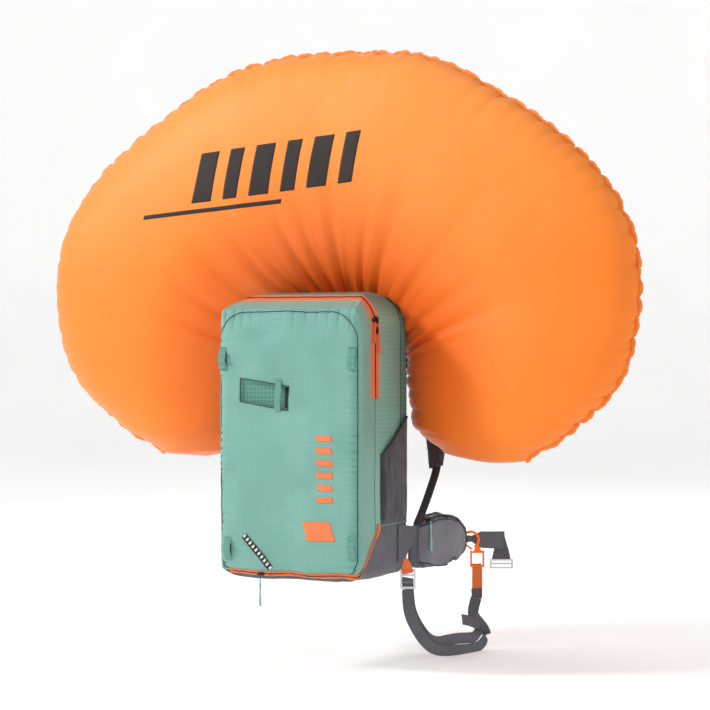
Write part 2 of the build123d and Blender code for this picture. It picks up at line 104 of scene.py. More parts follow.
# ---------------------------------------------------------------- the bag's form, as the CAD has it
LOWER_FRONT = corners("lower_front")
BAG_LOW = np.array([*LOWER_FRONT[0][:2], corners("base_shell")[0][2]])
BAG_HIGH = np.array([LOWER_FRONT[1][0], corners("back_panel")[1][1], corners("main_gusset")[1][2]])
HALF = BAG_HIGH[0]
FRONT_Y, BACK_Y = BAG_LOW[1], BAG_HIGH[1]
BASE_Z, PEAK_Z = BAG_LOW[2], BAG_HIGH[2]
ZIP_Y = -186.0
TAPE = 20.0
ZIP_END_Z = 284.0
DIVIDER_Y = -62.0
BOARD_Y = -22.0
BASE_SEAM = [
    (-300, -80), (-255, -78), (-240, -62), (-226, -43), (-200, -12), (-173, 14), (-161, 20), (10, 20),
]
SLOT = [(-107, 277), (5, 259), (5, 309), (-107, 325)]
FRONT_SEAM_INSET = 6.0
FRONT_TOP_Z = 466
ARC_STEPS = 14


def rounded(points, radii):
    """A convex polygon with rounded corners, anticlockwise."""
    made = []
    count = len(points)
    for i, radius in enumerate(radii):
        here = np.array(points[i], float)
        back = np.array(points[i - 1], float) - here
        ahead = np.array(points[(i + 1) % count], float) - here
        back, ahead = back / np.linalg.norm(back), ahead / np.linalg.norm(ahead)
        half = math.acos(np.clip(back @ ahead, -1, 1)) / 2
        middle = back + ahead
        centre = here + middle / np.linalg.norm(middle) * radius / math.sin(half)
        start = here + back * radius / math.tan(half) - centre
        end = here + ahead * radius / math.tan(half) - centre
        turn = math.acos(np.clip(start @ end / radius**2, -1, 1))
        for k in range(ARC_STEPS + 1):
            share = k / ARC_STEPS
            spoke = math.sin((1 - share) * turn) * start + math.sin(share * turn) * end
            made.append(centre + spoke / math.sin(turn))
    return np.array(made)


def half_planes(outline, first, second):
    """Outward normals and offsets of a prism whose outline lies in the plane of two axes."""
    edge = np.roll(outline, -1, axis=0) - outline
    keep = np.linalg.norm(edge, axis=1) > 1e-6
    edge, start = edge[keep], outline[keep]
    edge = edge / np.linalg.norm(edge, axis=1)[:, None]
    normals = np.zeros((len(edge), 3))
    normals[:, first], normals[:, second] = edge[:, 1], -edge[:, 0]
    offsets = normals[:, first] * start[:, 0] + normals[:, second] * start[:, 1]
    return normals, offsets


FRONT_PLANES = half_planes(rounded(
    [(-HALF, BASE_Z), (HALF, BASE_Z), (HALF, PEAK_Z), (-HALF, PEAK_Z)], [45, 45, 78, 78]), 0, 2)
SIDE_PLANES = half_planes(rounded(
    [(FRONT_Y, BASE_Z), (BACK_Y, BASE_Z), (BACK_Y, 475), (-90, PEAK_Z), (-175, 496), (FRONT_Y, FRONT_TOP_Z)],
    [40, 18, 16, 90, 90, 16]), 1, 2)
PLAN_PLANES = half_planes(rounded(
    [(-HALF, FRONT_Y), (HALF, FRONT_Y), (HALF, BACK_Y), (-HALF, BACK_Y)], [22, 22, 26, 26]), 0, 1)
PLANE_NORMALS = np.concatenate([FRONT_PLANES[0], SIDE_PLANES[0], PLAN_PLANES[0]])
PLANE_OFFSETS = np.concatenate([FRONT_PLANES[1], SIDE_PLANES[1], PLAN_PLANES[1]])


def bag_exit(start, direction):
    """Where rays from inside the bag's form leave it, and the normals there."""
    start, direction = np.atleast_2d(start).astype(float), np.atleast_2d(direction).astype(float)
    start = np.broadcast_to(start, direction.shape) if len(start) == 1 else start
    direction = np.broadcast_to(direction, start.shape) if len(direction) == 1 else direction
    reach = PLANE_OFFSETS - start @ PLANE_NORMALS.T
    speed = direction @ PLANE_NORMALS.T
    time = np.where(speed > 1e-6, reach / np.maximum(speed, 1e-6), np.inf)
    first = time.argmin(1)
    return start + direction * time[np.arange(len(first)), first][:, None], PLANE_NORMALS[first]


# ---------------------------------------------------------------- noise and folds
def lattice_value(ix, iy, iz, seed):
    mixed = (ix * 374761393 + iy * 668265263 + iz * 2147483647 + seed * 974711) & 0xFFFFFFFF
    mixed = ((mixed ^ (mixed >> 13)) * 1274126177) & 0xFFFFFFFF
    return ((mixed ^ (mixed >> 16)) & 0xFFFF) / 32767.5 - 1


def noise(points, size, seed=0):
    """Smooth noise from -1 to 1 whose lumps are about size across."""
    scaled = np.asarray(points, float) / size
    base = np.floor(scaled).astype(np.int64)
    part = scaled - base
    part = part * part * (3 - 2 * part)
    total = 0.0
    for dx in (0, 1):
        for dy in (0, 1):
            for dz in (0, 1):
                weight = np.where(dx, part[:, 0], 1 - part[:, 0]) * np.where(dy, part[:, 1], 1 - part[:, 1])
                weight = weight * np.where(dz, part[:, 2], 1 - part[:, 2])
                corner = lattice_value(base[:, 0] + dx, base[:, 1] + dy, base[:, 2] + dz, seed)
                total = total + weight * corner
    return total


def along_noise(s, size, seed):
    s = np.asarray(s, float)
    return noise(np.stack([s, s * 0 + 3.3, s * 0 + 7.7], axis=1), size, seed)


def gathers(s, pitch, seed):
    """Narrow creases at uneven spacing along a seam: 0 between creases and -1 in them."""
    phase = np.asarray(s) / pitch * math.pi + 2.2 * along_noise(s, pitch * 2.7, seed)
    depth = 0.65 + 0.35 * along_noise(s, pitch * 1.9, seed + 5)
    return -((1 - np.abs(np.sin(phase))) ** 2) * depth


def lobes(s, pitch, seed):
    """Rounded swellings between sharp creases, like a gathered seam under air pressure."""
    phase = np.asarray(s) / pitch * math.pi + 1.7 * along_noise(s, pitch * 3.1, seed)
    depth = 0.7 + 0.3 * along_noise(s, pitch * 2.3, seed + 5)
    return (np.abs(np.sin(phase)) ** 0.7 - 0.72) * depth


def bump(distance, width):
    return np.exp(-((distance / width) ** 2))


# ---------------------------------------------------------------- the cloth's relief over the bag's form
def seam_height(y):
    """Height of the base seam at depth y."""
    return np.interp(y, [p[0] for p in BASE_SEAM], [p[1] for p in BASE_SEAM])


def outline_depth(p):
    """How far a point lies inside the bag's front outline."""
    return (FRONT_PLANES[1] - p @ FRONT_PLANES[0].T).min(1)


def relief(p, n):
    """How far the cloth stands out from the bag's plain form, in millimetres."""
    x, y, z = p.T
    facing = np.clip(-n[:, 1], 0, 1) ** 2
    sideways = n[:, 0] ** 2
    upward = np.clip(n[:, 2], 0, 1) ** 2
    out = 1.6 * noise(p * [1, 1, 0.7], 64, 1) + 0.4 * noise(p, 19, 2)

    depth = outline_depth(p) - FRONT_SEAM_INSET
    inside = np.clip(depth / 4, 0, 1) * (facing > 0.2)
    puff = np.clip(1 - (x / HALF) ** 4, 0, 1) * np.clip(1 - ((z - 190) / 300) ** 4, 0, 1)
    out = out + facing * 4.0 * puff
    top_share = np.clip((z - 400) / 50, 0, 1)
    right_share = (1 - top_share) * np.clip(np.abs(x) / 60 - 1, 0, 1)
    out = out + inside * top_share * 9.0 * gathers(x, 26, 11) * np.exp(-np.clip(depth, 0, None) / 40)
    out = out + inside * right_share * 7.0 * gathers(z, 15, 12) * np.exp(-np.clip(depth, 0, None) / 24)
    out = out + inside * 3.6 * noise(p * [1, 1, 1.5], 52, 13)
    out = out - (facing > 0.1) * 1.9 * bump(depth, 3.0)

    zip_near = np.abs(y - ZIP_Y)
    on_zip = (zip_near < TAPE + 1) & (z > ZIP_END_Z)
    above_base = z > seam_height(y) + 9
    panel = np.clip(1 - ((y - (ZIP_Y + DIVIDER_Y) / 2 - 4) / 50) ** 2, 0, 1)
    out = out + above_base * sideways * panel * (2.6 + 1.1 * noise(p, 70, 3)) * (~on_zip)
    strip = np.clip(1 - ((y + 232) / 26) ** 2, 0, 1)
    out = out + above_base * sideways * strip * (0.8 + 1.1 * noise(p * [1, 0.5, 1], 13, 4))
    out = out - (~on_zip) * above_base * 1.1 * bump(y - ZIP_Y, 2.2) * (sideways + upward)
    out = out - 0.9 * bump(zip_near - TAPE, 2.0) * (z > ZIP_END_Z)
    out = out - 1.0 * bump(y - DIVIDER_Y, 2.4) * above_base
    out = out + 1.4 * gathers(z, 15, 14) * bump(y - DIVIDER_Y, 16) * sideways * above_base
    out = out - 1.0 * upward * bump(y + 128, 2.0)

    base_near = z - seam_height(y)
    out = out - 1.0 * bump(base_near, 2.4)
    below = base_near < 0
    out = out + below * (0.9 * noise(p * [1, 1, 0.6], 30, 6) + 0.5 * noise(p, 11, 7))
    out = np.where(on_zip, np.clip(out, -0.6, 0.3), out)
    return out


def bag_point(start, direction, lift=0.0):
    """Points on the finished cloth, met by rays from inside the bag."""
    p, n = bag_exit(start, direction)
    return p + n * (relief(p, n) + lift)[:, None], n


# ---------------------------------------------------------------- mesh helpers
def link(obj):
    bpy.context.scene.collection.objects.link(obj)
    return obj


def shade_smooth(mesh):
    mesh.polygons.foreach_set("use_smooth", [True] * len(mesh.polygons))


def new_mesh(name, points, faces, flipped=False):
    """An object from points in millimetres."""
    mesh = bpy.data.meshes.new(name)
    faces = [list(reversed(f)) if flipped else list(f) for f in faces]
    mesh.from_pydata((np.asarray(points, float) * MM).tolist(), [], faces)
    shade_smooth(mesh)
    return link(bpy.data.objects.new(name, mesh))


def mesh_points(obj):
    flat = np.zeros(len(obj.data.vertices) * 3)
    obj.data.vertices.foreach_get("co", flat)
    return flat.reshape(-1, 3) / MM


def mesh_normals(obj):
    flat = np.zeros(len(obj.data.vertices) * 3)
    obj.data.vertices.foreach_get("normal", flat)
    return flat.reshape(-1, 3)


def set_points(obj, points):
    obj.data.vertices.foreach_set("co", (points * MM).ravel())
    obj.data.update()


def grid_faces(rows, columns, closed_rows=False, closed_columns=False):
    faces = []
    for i in range(rows if closed_rows else rows - 1):
        for j in range(columns if closed_columns else columns - 1):
            a, b = i * columns + j, i * columns + (j + 1) % columns
            c, d = ((i + 1) % rows) * columns + (j + 1) % columns, ((i + 1) % rows) * columns + j
            faces.append((a, b, c, d))
    return faces


def relax(points, faces_of, rounds, share=0.5):
    """Move each vertex towards its neighbours' middle."""
    edges = np.zeros(len(faces_of.edges) * 2, int)
    faces_of.edges.foreach_get("vertices", edges)
    a, b = edges.reshape(-1, 2).T
    count = np.bincount(np.concatenate([a, b]), minlength=len(points))[:, None]
    for _ in range(rounds):
        total = np.zeros_like(points)
        np.add.at(total, a, points[b])
        np.add.at(total, b, points[a])
        points = points + (total / np.maximum(count, 1) - points) * share
    return points


def apply_modifiers(obj):
    graph = bpy.context.evaluated_depsgraph_get()
    made = bpy.data.meshes.new_from_object(obj.evaluated_get(graph))
    obj.modifiers.clear()
    obj.data = made
    return obj


def modifier(obj, kind, **settings):
    made = obj.modifiers.new(kind.title(), kind)
    for name, value in settings.items():
        setattr(made, name, value)
    return made


def thicken(obj, thick, offset=0.0):
    """Give a sheet of faces its thickness, in millimetres."""
    modifier(obj, "SOLIDIFY", thickness=thick * MM, offset=offset)
    return apply_modifiers(obj)


def dress(obj, material, body=None, replaces=()):
    """Give a piece its material, its body and the CAD nodes that it stands for."""
    obj.data.materials.clear()
    obj.data.materials.append(material)
    if body:
        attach(obj, body)
    if replaces:
        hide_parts(*replaces)
    return obj


def nurbs_curve(name, points):
    """A NURBS curve with these control points, which starts and ends on the outer two."""
    curve = bpy.data.curves.new(name, "CURVE")
    curve.dimensions = "3D"
    spline = curve.splines.new("NURBS")
    spline.points.add(len(points) - 1)
    for target, point in zip(spline.points, points):
        target.co = (*point, 1)
    spline.order_u = 3
    spline.use_endpoint_u = True
    return curve


def nurbs_line(points, resolution=12):
    """Points read along the NURBS curve that has these control points."""
    curve = nurbs_curve("line", points)
    curve.splines[0].resolution_u = resolution
    holder = bpy.data.objects.new("line", curve)
    mesh = bpy.data.meshes.new_from_object(holder)
    line = np.array([v.co for v in mesh.vertices], float)
    bpy.data.objects.remove(holder)
    bpy.data.meshes.remove(mesh)
    bpy.data.curves.remove(curve)
    return line


def lengths_along(line):
    """The length from the line's start to each of its points."""
    return np.concatenate([[0], np.cumsum(np.linalg.norm(np.diff(line, axis=0), axis=1))])


def both_sides(make):
    """Makes a piece on the right and its mirror image on the left."""
    make("right", 1)
    make("left", -1)


def mirrored_points(points, sign):
    return np.asarray(points, float) * [sign, 1, 1]


def unit(vectors):
    vectors = np.asarray(vectors, float)
    return vectors / np.maximum(np.linalg.norm(vectors, axis=-1, keepdims=True), 1e-9)


RIBBON_SIDE = [
    (0.5, 0), (0.485, -0.38), (0.45, -0.5), (0.15, -0.46), (-0.15, -0.46), (-0.45, -0.5), (-0.485, -0.38),
]
RIBBON_SECTION = [(-x, -y) for x, y in RIBBON_SIDE] + RIBBON_SIDE


def ribbon(name, line, across, width, thick, material, body=None, replaces=()):
    """Flat webbing along a line. The UV map holds millimetres across and along the webbing."""
    line = np.asarray(line, float)
    tangent = unit(np.gradient(line, axis=0))
    across = np.broadcast_to(np.asarray(across, float), line.shape)
    across = unit(across - tangent * (across * tangent).sum(1)[:, None])
    normal = np.cross(tangent, across)
    widths = np.broadcast_to(np.asarray(width, float), (len(line),))
    section = np.array(RIBBON_SECTION)
    points = (line[:, None, :] + across[:, None, :] * (section[None, :, :1] * widths[:, None, None])
              + normal[:, None, :] * (section[None, :, 1:] * thick))
    count = len(section)
    faces = grid_faces(len(line), count, closed_columns=True)
    faces += [tuple(range(count)), tuple(reversed(range((len(line) - 1) * count, len(line) * count)))]
    obj = new_mesh(name, points.reshape(-1, 3), faces, flipped=True)
    along = lengths_along(line)
    layer = obj.data.uv_layers.new(name="webbing")
    uv = np.array([(j / count * widths[i] * 2, along[i]) for i in range(len(line)) for j in range(count)])
    loops = np.zeros(len(obj.data.loops), int)
    obj.data.loops.foreach_get("vertex_index", loops)
    layer.data.foreach_set("uv", uv[loops].ravel())
    return dress(obj, material, body, replaces)


def straight(points, step=4.0):
    """Evenly spaced points along straight runs."""
    points = np.asarray(points, float)
    along = lengths_along(points)
    at = np.linspace(0, along[-1], max(2, int(along[-1] / step) + 1))
    return np.stack([np.interp(at, along, points[:, k]) for k in range(points.shape[1])], axis=1)


def tube(name, line, radius, material, body=None, replaces=(), sides=8, closed=False):
    """A round tube whose radius may vary along its line."""
    line = np.asarray(line, float)
    count = len(line)
    ahead = np.roll(line, -1, axis=0) - np.roll(line, 1, axis=0) if closed else np.gradient(line, axis=0)
    tangent = unit(ahead)
    first = np.cross(tangent[0], [0, 0, 1] if abs(tangent[0][2]) < 0.9 else [1, 0, 0])
    frames = [unit(first)]
    for t in tangent[1:]:
        frames.append(unit(frames[-1] - t * (frames[-1] @ t)))
    side = np.array(frames)
    other = np.cross(tangent, side)
    radii = np.broadcast_to(np.asarray(radius, float), (count,))[:, None, None]
    angles = np.arange(sides) / sides * 2 * math.pi
    cosines, sines = np.cos(angles)[None, :, None], np.sin(angles)[None, :, None]
    ring = side[:, None, :] * cosines + other[:, None, :] * sines
    points = line[:, None, :] + ring * radii
    faces = grid_faces(count, sides, closed_rows=closed, closed_columns=True)
    if not closed:
        faces += [tuple(range(sides)), tuple(reversed(range((count - 1) * sides, count * sides)))]
    return dress(new_mesh(name, points.reshape(-1, 3), faces), material, body, replaces)


def stitches(name, lines, material, body, length=3.0, gap=1.6, radius=0.42):
    """Rows of stitches along lines of points, as one piece."""
    points, faces = [], []
    angles = np.arange(5) / 5 * 2 * math.pi
    for line in lines:
        line = np.asarray(line, float)
        along = lengths_along(line)
        for start in np.arange(gap, along[-1] - length, length + gap):
            at = [start, start + length * 0.2, start + length * 0.8, start + length]
            middle = np.stack([np.interp(at, along, line[:, k]) for k in range(3)], axis=1)
            tangent = unit(middle[-1] - middle[0])
            side = unit(np.cross(tangent, [0.31, 0.52, 0.8]))
            other = np.cross(tangent, side)
            base = len(points)
            round_it = [side * math.cos(a) + other * math.sin(a) for a in angles]
            for centre, share in zip(middle, (0.35, 1, 1, 0.35)):
                points += [centre + way * radius * share for way in round_it]
            faces += [tuple(base + i for i in f) for f in grid_faces(4, 5, closed_columns=True)]
            faces += [tuple(range(base, base + 5)), tuple(reversed(range(base + 15, base + 20)))]
    return dress(new_mesh(name, points, faces), material, body)


# ---------------------------------------------------------------- materials
def colour(code):
    """A linear colour from its sRGB hex code."""
    channels = [int(code[i:i + 2], 16) / 255 for i in (1, 3, 5)]
    return tuple(c / 12.92 if c <= 0.04045 else ((c + 0.055) / 1.055) ** 2.4 for c in channels) + (1.0,)


class Shader:
    """A Principled material with short calls for its nodes."""

    def __init__(self, name, roughness, metallic=0.0, sheen=0.0, specular=0.5, coat=0.0):
        self.material = bpy.data.materials.new(name)
        self.material.use_nodes = True
        self.tree = self.material.node_tree
        self.surface = self.tree.nodes["Principled BSDF"]
        for socket, value in (("Roughness", roughness), ("Metallic", metallic), ("Sheen Weight", sheen),
                              ("Specular IOR Level", specular), ("Coat Weight", coat)):
            self.surface.inputs[socket].default_value = value
        self.place = self.add("ShaderNodeTexCoord")

    def add(self, kind, feeds=(), **settings):
        node = self.tree.nodes.new(kind)
        for name, value in settings.items():
            setattr(node, name, value)
        for key, value in dict(feeds).items():
            self.feed(node.inputs[key], value)
        return node

    def feed(self, socket, value):
        if isinstance(value, bpy.types.NodeSocket):
            self.tree.links.new(value, socket)
        else:
            socket.default_value = value

    def math(self, operation, a, b=0.0):
        node = self.add("ShaderNodeMath", operation=operation)
        self.feed(node.inputs[0], a)
        self.feed(node.inputs[1], b)
        return node.outputs[0]

    def plus(self, a, b):
        return self.math("ADD", a, b)

    def times(self, a, b):
        return self.math("MULTIPLY", a, b)

    def axes(self, socket):
        return self.add("ShaderNodeSeparateXYZ", {0: socket}).outputs

    def noise(self, scale, detail=3.0, stretch=None):
        where = self.place.outputs["Object"]
        if stretch:
            where = self.add("ShaderNodeMapping", {"Vector": where, "Scale": stretch}).outputs[0]
        node = self.add("ShaderNodeTexNoise", {"Vector": where, "Scale": scale, "Detail": detail})
        return node.outputs["Fac"]

    def ramp(self, value, low, high):
        """0 below low and 1 above high."""
        node = self.add("ShaderNodeMapRange", {"Value": value, "From Min": low, "From Max": high})
        return node.outputs[0]

    def mix(self, share, a, b):
        node = self.add("ShaderNodeMix", data_type="RGBA")
        self.feed(node.inputs[0], share)
        self.feed(node.inputs[6], a)
        self.feed(node.inputs[7], b)
        return node.outputs[2]

    def tint(self, base, share, most, code):
        """The base with a colour over it: most of it where share is 1, none where it is 0."""
        return self.mix(self.times(share, most), base, colour(code))

    def wave(self, value, pitch):
        """A sine wave along a length in metres, from 0 to 1."""
        phase = self.times(value, 2 * math.pi / pitch)
        return self.times(self.plus(self.math("SINE", phase), 1.0), 0.5)

    def cloth_plane(self):
        """Two lengths along the cloth: across and up, or across and along where the cloth lies flat."""
        x, y, z = self.axes(self.place.outputs["Object"])[:3]
        facing = self.axes(self.place.outputs["Normal"])
        flat = self.math("GREATER_THAN", self.math("ABSOLUTE", facing[2]), 0.72)
        standing = self.math("SUBTRACT", 1.0, flat)
        across = self.plus(x, self.times(y, standing))
        up = self.plus(self.times(z, standing), self.times(y, flat))
        return across, up

    def relief(self, height, depth, strength=1.0):
        node = self.add("ShaderNodeBump", {"Height": height, "Distance": depth, "Strength": strength})
        self.tree.links.new(node.outputs[0], self.surface.inputs["Normal"])

    def paint(self, base):
        self.feed(self.surface.inputs["Base Color"], base)
        return self.material


def ripstop(name, light, dark, grid=0.0052, painted_top_shade=None):
    """Coated ripstop: a fine plain weave with a grid of thicker threads."""
    s = Shader(name, 0.52, sheen=0.15, specular=0.42)
    across, up = s.cloth_plane()
    weave = s.times(s.wave(across, 0.0011), s.wave(up, 0.0011))
    threads = s.math("MAXIMUM", *[s.math("POWER", s.wave(way, grid), 14.0) for way in (across, up)])
    cloudy = s.ramp(s.noise(7.0, 4.0), 0.2, 0.8)
    mottled = s.ramp(s.noise(420.0, 2.0), 0.3, 0.75)
    base = s.mix(cloudy, colour(dark), colour(light))
    base = s.tint(base, threads, 0.22, "#C4E6DD")
    base = s.tint(base, mottled, 0.18, dark)
    # Painted shade: faces that look up are mixed towards a darker colour, standing in for the airbag's shadow
    # on the bag's top.
    if painted_top_shade:
        upward = s.axes(s.place.outputs["Normal"])[2]
        base = s.mix(s.ramp(upward, 0.25, 0.85), base, colour(painted_top_shade))
    height = s.plus(s.times(weave, 0.35), s.times(threads, 0.65))
    s.relief(s.plus(height, s.times(s.noise(160.0, 3.0), 0.8)), 0.0006, 0.8)
    return s.paint(base)


def twill(name, light, dark, pitch=0.0017, rough=0.78):
    """Heavy woven cloth with a diagonal rib."""
    s = Shader(name, rough, sheen=0.25, specular=0.3)
    across, up = s.cloth_plane()
    diagonal = s.wave(s.plus(across, up), pitch)
    crossing = s.wave(s.math("SUBTRACT", across, up), pitch * 2.3)
    speckle = s.ramp(s.noise(900.0, 2.0), 0.35, 0.7)
    base = s.mix(s.ramp(s.noise(14.0, 4.0), 0.35, 0.68), colour(dark), colour(light))
    base = s.tint(base, speckle, 0.35, "#77777F")
    height = s.plus(s.times(diagonal, 0.6), s.times(crossing, 0.4))
    s.relief(s.plus(height, s.noise(260.0, 3.0)), 0.0007, 0.8)
    return s.paint(base)


def stretch_knit(name, light, dark):
    """Stretch fabric: rows of small loops, darker between them."""
    s = Shader(name, 0.85, sheen=0.3, specular=0.25)
    across, up = s.cloth_plane()
    loops = s.times(s.wave(across, 0.0042), s.wave(up, 0.0030))
    base = s.mix(s.ramp(loops, 0.15, 0.75), colour(dark), colour(light))
    base = s.tint(base, s.ramp(s.noise(35.0, 4.0), 0.4, 0.7), 0.5, dark)
    s.relief(s.plus(loops, s.times(s.noise(500.0, 2.0), 0.6)), 0.0009, 0.9)
    return s.paint(base)


def spacer_mesh(name, light, dark):
    """Padded mesh with small round holes."""
    s = Shader(name, 0.88, sheen=0.3, specular=0.2)
    cells = s.add("ShaderNodeTexVoronoi", {"Vector": s.place.outputs["Object"], "Scale": 230.0})
    holes = s.ramp(cells.outputs["Distance"], 0.18, 0.42)
    base = s.mix(holes, colour(dark), colour(light))
    s.relief(holes, 0.0009, 0.9)
    return s.paint(base)


def webbing(name, light, dark, rough=0.7, stripe=None):
    """Woven webbing, with its ribs laid out by the ribbon's UV map in millimetres."""
    s = Shader(name, rough, sheen=0.15, specular=0.35)
    u, v = s.axes(s.place.outputs["UV"])[:2]
    zigzag = s.math("ABSOLUTE", s.math("SUBTRACT", s.math("FRACT", s.times(u, 0.16)), 0.5))
    ribs = s.wave(s.plus(v, s.times(zigzag, 5.0)), 1.5)
    threads = s.wave(u, 1.1)
    base = s.mix(s.ramp(ribs, 0.2, 0.8), colour(dark), colour(light))
    base = s.tint(base, s.ramp(s.noise(60.0, 3.0), 0.4, 0.7), 0.3, dark)
    if stripe:
        blocks = s.math("GREATER_THAN", s.wave(v, 9.5), 0.55)
        inner = s.math("LESS_THAN", s.math("ABSOLUTE", s.math("SUBTRACT", s.wave(u, 14.0), 0.5)), 0.36)
        base = s.tint(base, blocks, inner, stripe)
    s.relief(s.plus(ribs, s.times(threads, 0.5)), 0.0005, 0.9)
    return s.paint(base)


def sewn_webbing(name, light, dark):
    """Webbing on small sewn pieces, ribbed by height."""
    s = Shader(name, 0.72, sheen=0.15, specular=0.35)
    across, up = s.cloth_plane()
    ribs = s.times(s.wave(up, 0.0016), s.wave(across, 0.0024))
    base = s.mix(s.ramp(ribs, 0.1, 0.7), colour(dark), colour(light))
    s.relief(s.plus(ribs, s.noise(300.0, 2.0)), 0.0006, 0.8)
    return s.paint(base)


def coated_nylon(name, light, deep):
    """The airbag's light coated nylon: smooth, a little glossy, with a fine even weave."""
    s = Shader(name, 0.42, sheen=0.04, specular=0.4)
    x, y, z = s.axes(s.place.outputs["Object"])[:3]
    weave = s.times(s.wave(s.plus(x, y), 0.0013), s.wave(z, 0.0013))
    # Painted shade: the colour is deep close to the pack's top, round x 0 and z 0.34 m, and light further
    # out.
    drop = s.math("SUBTRACT", z, 0.34)
    reach = s.math("SQRT", s.plus(s.times(x, x), s.times(drop, drop)))
    base = s.mix(s.ramp(reach, 0.14, 0.44), colour(deep), colour(light))
    base = s.tint(base, s.ramp(s.noise(4.0, 3.0), 0.4, 0.7), 0.25, "#FF9438")
    # Painted highlight: the airbag's top is tinted lighter.
    base = s.tint(base, s.ramp(z, 0.55, 1.0), 0.5, "#FFAA52")
    soft = s.plus(s.times(weave, 0.15), s.times(s.noise(38.0, 5.0), 1.0))
    s.relief(soft, 0.0022, 0.55)
    return s.paint(base)


def plain_cloth(name, light, dark, scale=300.0, rough=0.7):
    s = Shader(name, rough, sheen=0.2, specular=0.35)
    grain = s.noise(scale, 4.0)
    base = s.mix(s.ramp(grain, 0.35, 0.68), colour(dark), colour(light))
    s.relief(s.plus(grain, s.noise(scale * 4, 2.0)), 0.0006, 0.8)
    return s.paint(base)


def braid(name, light, dark, pitch=0.0022):
    """A braided cord: crossed strands."""
    s = Shader(name, 0.62, sheen=0.1, specular=0.4)
    x, y, z = s.axes(s.place.outputs["Object"])[:3]
    side = s.plus(x, y)
    strands = s.times(*[s.wave(s.math(way, z, side), pitch) for way in ("ADD", "SUBTRACT")])
    base = s.mix(s.ramp(strands, 0.05, 0.5), colour(dark), colour(light))
    s.relief(strands, 0.0005, 0.9)
    return s.paint(base)


def moulded(name, light, dark, rough=0.42):
    """Moulded plastic with a fine pebble and a little wear."""
    s = Shader(name, rough, specular=0.5)
    grain = s.noise(1400.0, 2.0)
    worn = s.ramp(s.noise(70.0, 5.0), 0.52, 0.72)
    base = s.mix(s.times(worn, 0.35), colour(dark), colour(light))
    s.relief(grain, 0.0002, 0.6)
    return s.paint(base)


def machined(name, light, dark, rough=0.32):
    """Aluminium with fine brushed lines and small scratches."""
    s = Shader(name, rough, metallic=1.0, specular=0.5)
    lines = s.noise(300.0, 3.0, stretch=(1.0, 1.0, 14.0))
    base = s.mix(s.ramp(lines, 0.3, 0.7), colour(dark), colour(light))
    uneven = {"Value": s.noise(45.0, 4.0), "To Min": rough - 0.08, "To Max": rough + 0.16}
    s.feed(s.surface.inputs["Roughness"], s.add("ShaderNodeMapRange", uneven).outputs[0])
    s.relief(lines, 0.00012, 0.6)
    return s.paint(base)


MINT = ripstop("mint_ripstop", "#7AB3A6", "#69A296")
# The side gusset's mint, with painted shade on the faces that look up.
MINT_SIDE = ripstop("mint_gusset", "#7CB9A8", "#6AA898", grid=0.009, painted_top_shade="#3C7A6C")
# A darker copy of the mint ripstop: painted shade, for the rear gusset and the slot's lining, with more
# painted shade on faces that look up.
MINT_SHADED = ripstop("shaded_mint_ripstop", "#5F9C8E", "#4A8476", grid=0.009, painted_top_shade="#2F6558")
GREY = twill("grey_twill", "#50505B", "#3F3F49")
GREY_SOFT = plain_cloth("grey_padding_cloth", "#5E5E69", "#484852", 420.0)
POCKET_CLOTH = twill("pocket_cloth", "#83848F", "#676873", 0.0013, 0.6)
# A dark cloth colour for the real binding, also used for the sheets of painted shade behind the front loops
# and at the slot's deep end.
DARK_BINDING_AND_SHADE = plain_cloth("dark_binding_and_painted_shade", "#2B2B31", "#1B1B20", 600.0)
KNIT = stretch_knit("stretch_knit", "#5B5B68", "#26262D")
PAD_MESH = spacer_mesh("spacer_mesh", "#4A4A53", "#1B1B1F")
ZIP_ORANGE = plain_cloth("orange_zip_tape", "#F4824A", "#E0622C", 700.0, 0.6)
ORANGE_WEBBING = sewn_webbing("orange_webbing", "#F98B4B", "#E06A2C")
MINT_WEBBING = sewn_webbing("mint_webbing", "#7FB9AA", "#5C9486")
GREY_WEBBING = webbing("grey_webbing", "#6E6F78", "#4B4C54")
BLACK_WEBBING = webbing("black_webbing", "#33333A", "#1C1C20")
PATTERNED = webbing("patterned_webbing", "#2A2A2E", "#17171A", stripe="#E9E9E6")
# The airbag's second colour is the painted shade near the pack; its top also gets a painted highlight.
AIRBAG = coated_nylon("airbag_nylon", "#FF8216", "#F25006")
# The seam tape's colour is lighter than the airbag's: painted light, making up for the shade on the narrow
# tape.
AIRBAG_SEAM = plain_cloth("airbag_seam_tape", "#FF9A44", "#FF8C34", 260.0, 0.5)
PRINT_BLACK = plain_cloth("black_print", "#2A1A12", "#1F130D", 500.0, 0.5)
PRINT_ORANGE = plain_cloth("orange_print", "#F58A55", "#EE7A42", 500.0, 0.5)
PIPING = plain_cloth("dark_green_piping", "#23463F", "#16322C", 600.0)
THREAD_MINT = plain_cloth("mint_thread", "#9AD0C3", "#74B0A2", 900.0)
THREAD_GREY = plain_cloth("grey_thread", "#7C7C86", "#5A5A63", 900.0)
THREAD_ORANGE = plain_cloth("orange_thread", "#FFB27C", "#F08C4C", 900.0)
COIL = moulded("zip_coil", "#5A2A14", "#38190B", 0.4)
BLACK = moulded("black_plastic", "#26262B", "#101013")
ORANGE_PLASTIC = moulded("orange_plastic", "#F2591C", "#D84710", 0.38)
MINT_CORD = braid("mint_cord", "#CBE9E2", "#7DB5A8")
ORANGE_CORD = braid("orange_cord", "#FF9460", "#D9531E")
ALUMINIUM = machined("bare_aluminium", "#D6D8DC", "#A3A6AC", 0.26)
ORANGE_METAL = machined("orange_anodised", "#FF7A2A", "#E85A14", 0.36)
BOARD_GREEN = moulded("board_green", "#2E7A46", "#1A5530", 0.35)
CELL_BLUE = moulded("cell_wrap", "#3B6FA8", "#28517E", 0.3)
